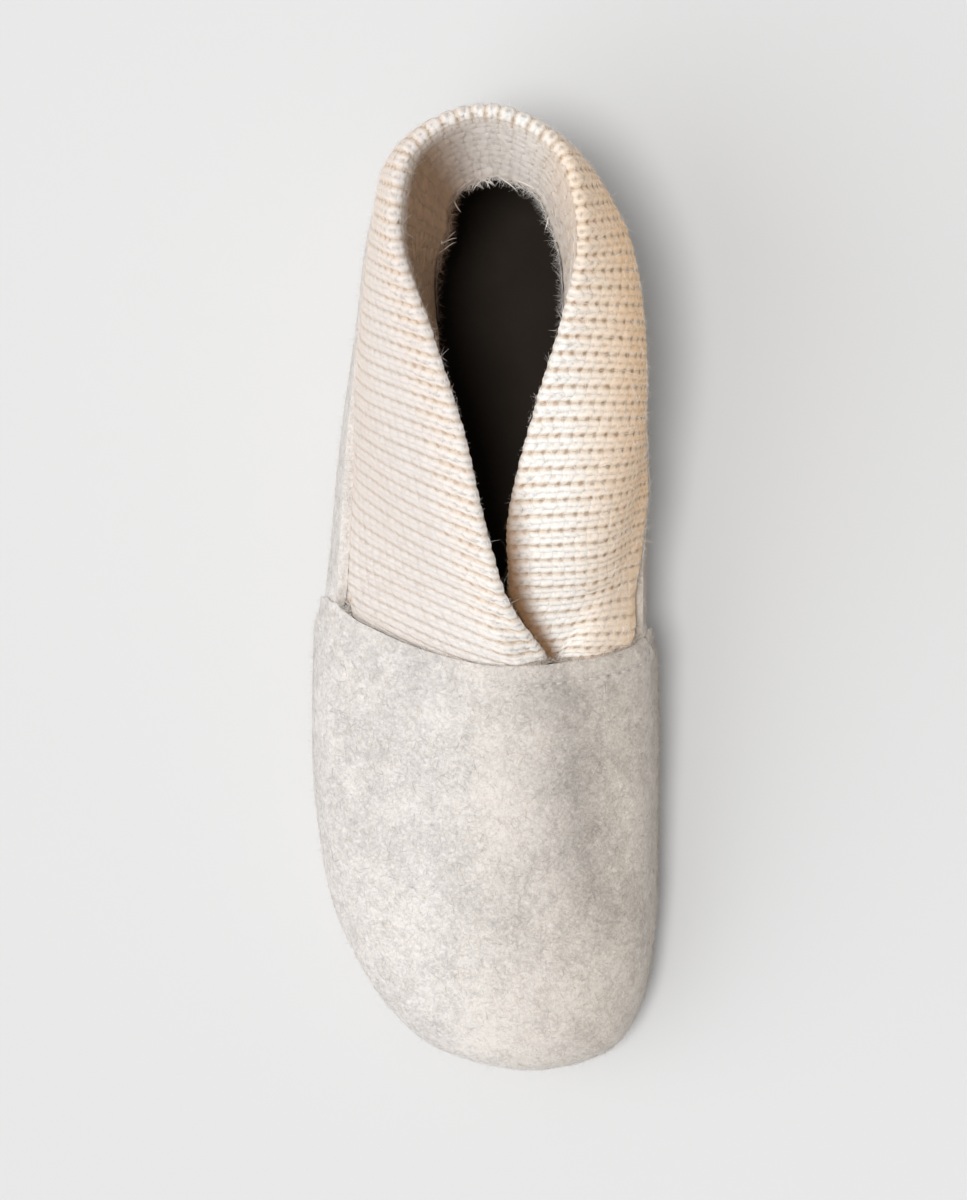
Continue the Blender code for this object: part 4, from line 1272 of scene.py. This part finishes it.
footbed_felt = worn_finish(
    "footbed felt",
    sheen=0.08,
    colours=(FOOTBED_BROWN_AND_SHADE, FOOTBED_WORN_AND_SHADE),
    cloud=((14.0, 3.0), 0.35, 0.7),
    fine=((0.5, 3.0, 0.5), 0.6),
    rough=(0.80, 0.15, 0.0),
    bumps=(0.45, 0.2),
)
around = np.arange(OUTLINE_POINTS) / OUTLINE_POINTS
footbed_outline = feather(around, FEATHER_INSET + FELT + FOOTBED_MARGIN)[:, :2]
footbed_shape = plan_slab(footbed_outline, FOOTBED_THICKNESS, FOOTBED_CUT)
soften_corners(footbed_shape, FOOTBED_EDGE)
for vert in footbed_shape.verts:
    x, y, z = vert.co / MM
    pressed = sum(
        depth * hump((x - at_x) / half_x) * hump((y - at_y) / half_y)
        for at_x, at_y, half_x, half_y, depth in HOLLOWS
    )
    vert.co.z += (SOLE_THICKNESS + GAP + toe_lift(y) - pressed * z / FOOTBED_THICKNESS) * MM
footbed = new_piece("footbed", mesh_of(footbed_shape), "insole_felt", footbed_felt)
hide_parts("insole")


# Rubber sole
# A thin moulded sole of pale natural rubber with a plain rim and a field of low round studs inside it.
# It is glued under the felt foot: flat under heel and forefoot, hollow at the arch and lifted at the toe.
SOLE_MARGIN = 0.4
SOLE_EDGE = 1.4
SOLE_CUT = 6.0
ARCH_RISE = 1.8
ARCH_CENTRE_Y = 26.0
ARCH_HALF_LENGTH = 34.0
RIM_WIDTH = 5.0
RIM_SLOPE = 0.5
STUD_HEIGHT = 0.7
STUD_ROOT = 0.3
STUD_RADIUS = 2.5
STUD_TAPER = 0.86
STUD_PITCH = 7.5
STUD_FROM_RIM = 1.3
RUBBER = (0.62, 0.57, 0.50)
RUBBER_DUSTY = (0.50, 0.455, 0.39)


def bend_sole(bm):
    """Lifts the arch and the toe of what was modelled flat."""
    for vert in bm.verts:
        y = vert.co.y / MM
        under = 1 - vert.co.z / (SOLE_THICKNESS * MM)
        arch = ARCH_RISE * (1 - smooth_step(abs(y - ARCH_CENTRE_Y) / ARCH_HALF_LENGTH))
        vert.co.z += (arch * under + toe_lift(y)) * MM


def inside_outline(x, y, outline):
    """True where a point lies inside this closed outline."""
    next_point = np.roll(outline, -1, axis=0)
    straddles = (outline[:, 1] > y) != (next_point[:, 1] > y)
    slope = (next_point[:, 0] - outline[:, 0]) / np.where(straddles, next_point[:, 1] - outline[:, 1], 1)
    crossing = outline[:, 0] + (y - outline[:, 1]) * slope
    return np.sum(straddles & (crossing > x)) % 2 == 1


pale_rubber = worn_finish(
    "pale rubber",
    sheen=0.0,
    colours=(RUBBER, RUBBER_DUSTY),
    cloud=((7.0, 4.0), 0.4, 0.8),
    fine=((0.6, 2.0), 0.4),
    rough=(0.52, 0.0, 0.25),
    bumps=(0.3, 0.12),
)
pale_rubber.node_tree.nodes["Principled BSDF"].inputs["Specular IOR Level"].default_value = 0.4
sole_inset = FEATHER_INSET - SOLE_MARGIN
sole_outline = feather(around, sole_inset)[:, :2]
stud_outline = feather(around, sole_inset + RIM_WIDTH + STUD_RADIUS + STUD_FROM_RIM)[:, :2]
sole_shape = plan_slab(sole_outline, SOLE_THICKNESS, SOLE_CUT, ((RIM_WIDTH, 0), (RIM_SLOPE, STUD_HEIGHT)))
soften_corners(sole_shape, SOLE_EDGE)
stud_depth = STUD_HEIGHT + STUD_ROOT
stud = {"segments": 12, "cap_ends": True, "depth": stud_depth * MM}
stud.update(radius1=STUD_RADIUS * STUD_TAPER * MM, radius2=STUD_RADIUS * MM)
stud_rows = np.arange(-HALF_LENGTH, HALF_LENGTH, STUD_PITCH * math.sqrt(3) / 2)
for row, y in enumerate(stud_rows):
    for x in np.arange(-HALF_BALL, HALF_BALL, STUD_PITCH) + STUD_PITCH / 2 * (row % 2):
        if inside_outline(x, y, stud_outline):
            place = Matrix.Translation(Vector((x, y, stud_depth / 2)) * MM)
            bmesh.ops.create_cone(sole_shape, matrix=place, **stud)
bend_sole(sole_shape)
rubber_sole = new_piece("rubber_sole", mesh_of(sole_shape), "sole_rubber", pale_rubber)
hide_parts("outsole")


# Studio
# A pale floor under a lamp overhead, a wide soft one from the left and even light all round, seen from above.
# The camera stands where the shoe was seen from, a little to its inner side, and frames the one shoe.
FLOOR_SIZE = 6.0
FLOOR_GREY = 0.70
CAMERA_PLACE = Vector((0.0503, 0.0142, 1.5))
CAMERA_AIM = Vector((0.0, -0.002, 0.04))
FRAME_HEIGHT = 0.305  # metres of the shoe's plane from the top of the picture to its foot
SENSOR = 36.0
SKY = 0.355

# Lamps far off: where each shines from, how wide it is in degrees and how bright.
LAMPS = {"top": ((-0.10, -0.03, 1.0), 13, 1.82), "side": ((-0.88, -0.34, 0.75), 70, 1.12)}

floor_shape = bmesh.new()
bmesh.ops.create_grid(floor_shape, x_segments=1, y_segments=1, size=FLOOR_SIZE / 2)
floor_mesh = mesh_of(floor_shape)
floor_finish, floor_shader = new_finish("pale floor", 0.0)[:2]
floor_shader.inputs["Base Color"].default_value = (FLOOR_GREY, FLOOR_GREY, FLOOR_GREY, 1)
floor_shader.inputs["Roughness"].default_value = 0.9
floor_mesh.materials.append(floor_finish)
floor = bpy.data.objects.new("floor", floor_mesh)
bpy.context.scene.collection.objects.link(floor)

world = bpy.data.worlds.new("soft sky")
world.use_nodes = True
world.node_tree.nodes["Background"].inputs["Color"].default_value = (1, 1, 1, 1)
world.node_tree.nodes["Background"].inputs["Strength"].default_value = SKY
bpy.context.scene.world = world

for name, (shines_from, width, power) in LAMPS.items():
    lamp = bpy.data.lights.new(name, "SUN")
    lamp.angle = math.radians(width)
    lamp.energy = power
    stand = bpy.data.objects.new(name, lamp)
    stand.rotation_euler = Vector(shines_from).to_track_quat("Z", "Y").to_euler()
    bpy.context.scene.collection.objects.link(stand)

lens = bpy.data.cameras.new("camera")
lens.sensor_width = SENSOR
lens.lens = SENSOR * (CAMERA_PLACE - CAMERA_AIM).length / FRAME_HEIGHT
camera = bpy.data.objects.new("camera", lens)
back = (CAMERA_PLACE - CAMERA_AIM).normalized()
right = Vector((0, 1, 0)).cross(back).normalized()
camera.matrix_world = Matrix((right, back.cross(right), back)).transposed().to_4x4()
camera.location = CAMERA_PLACE
bpy.context.scene.collection.objects.link(camera)
bpy.context.scene.camera = camera
bpy.context.scene.view_settings.view_transform = "Standard"
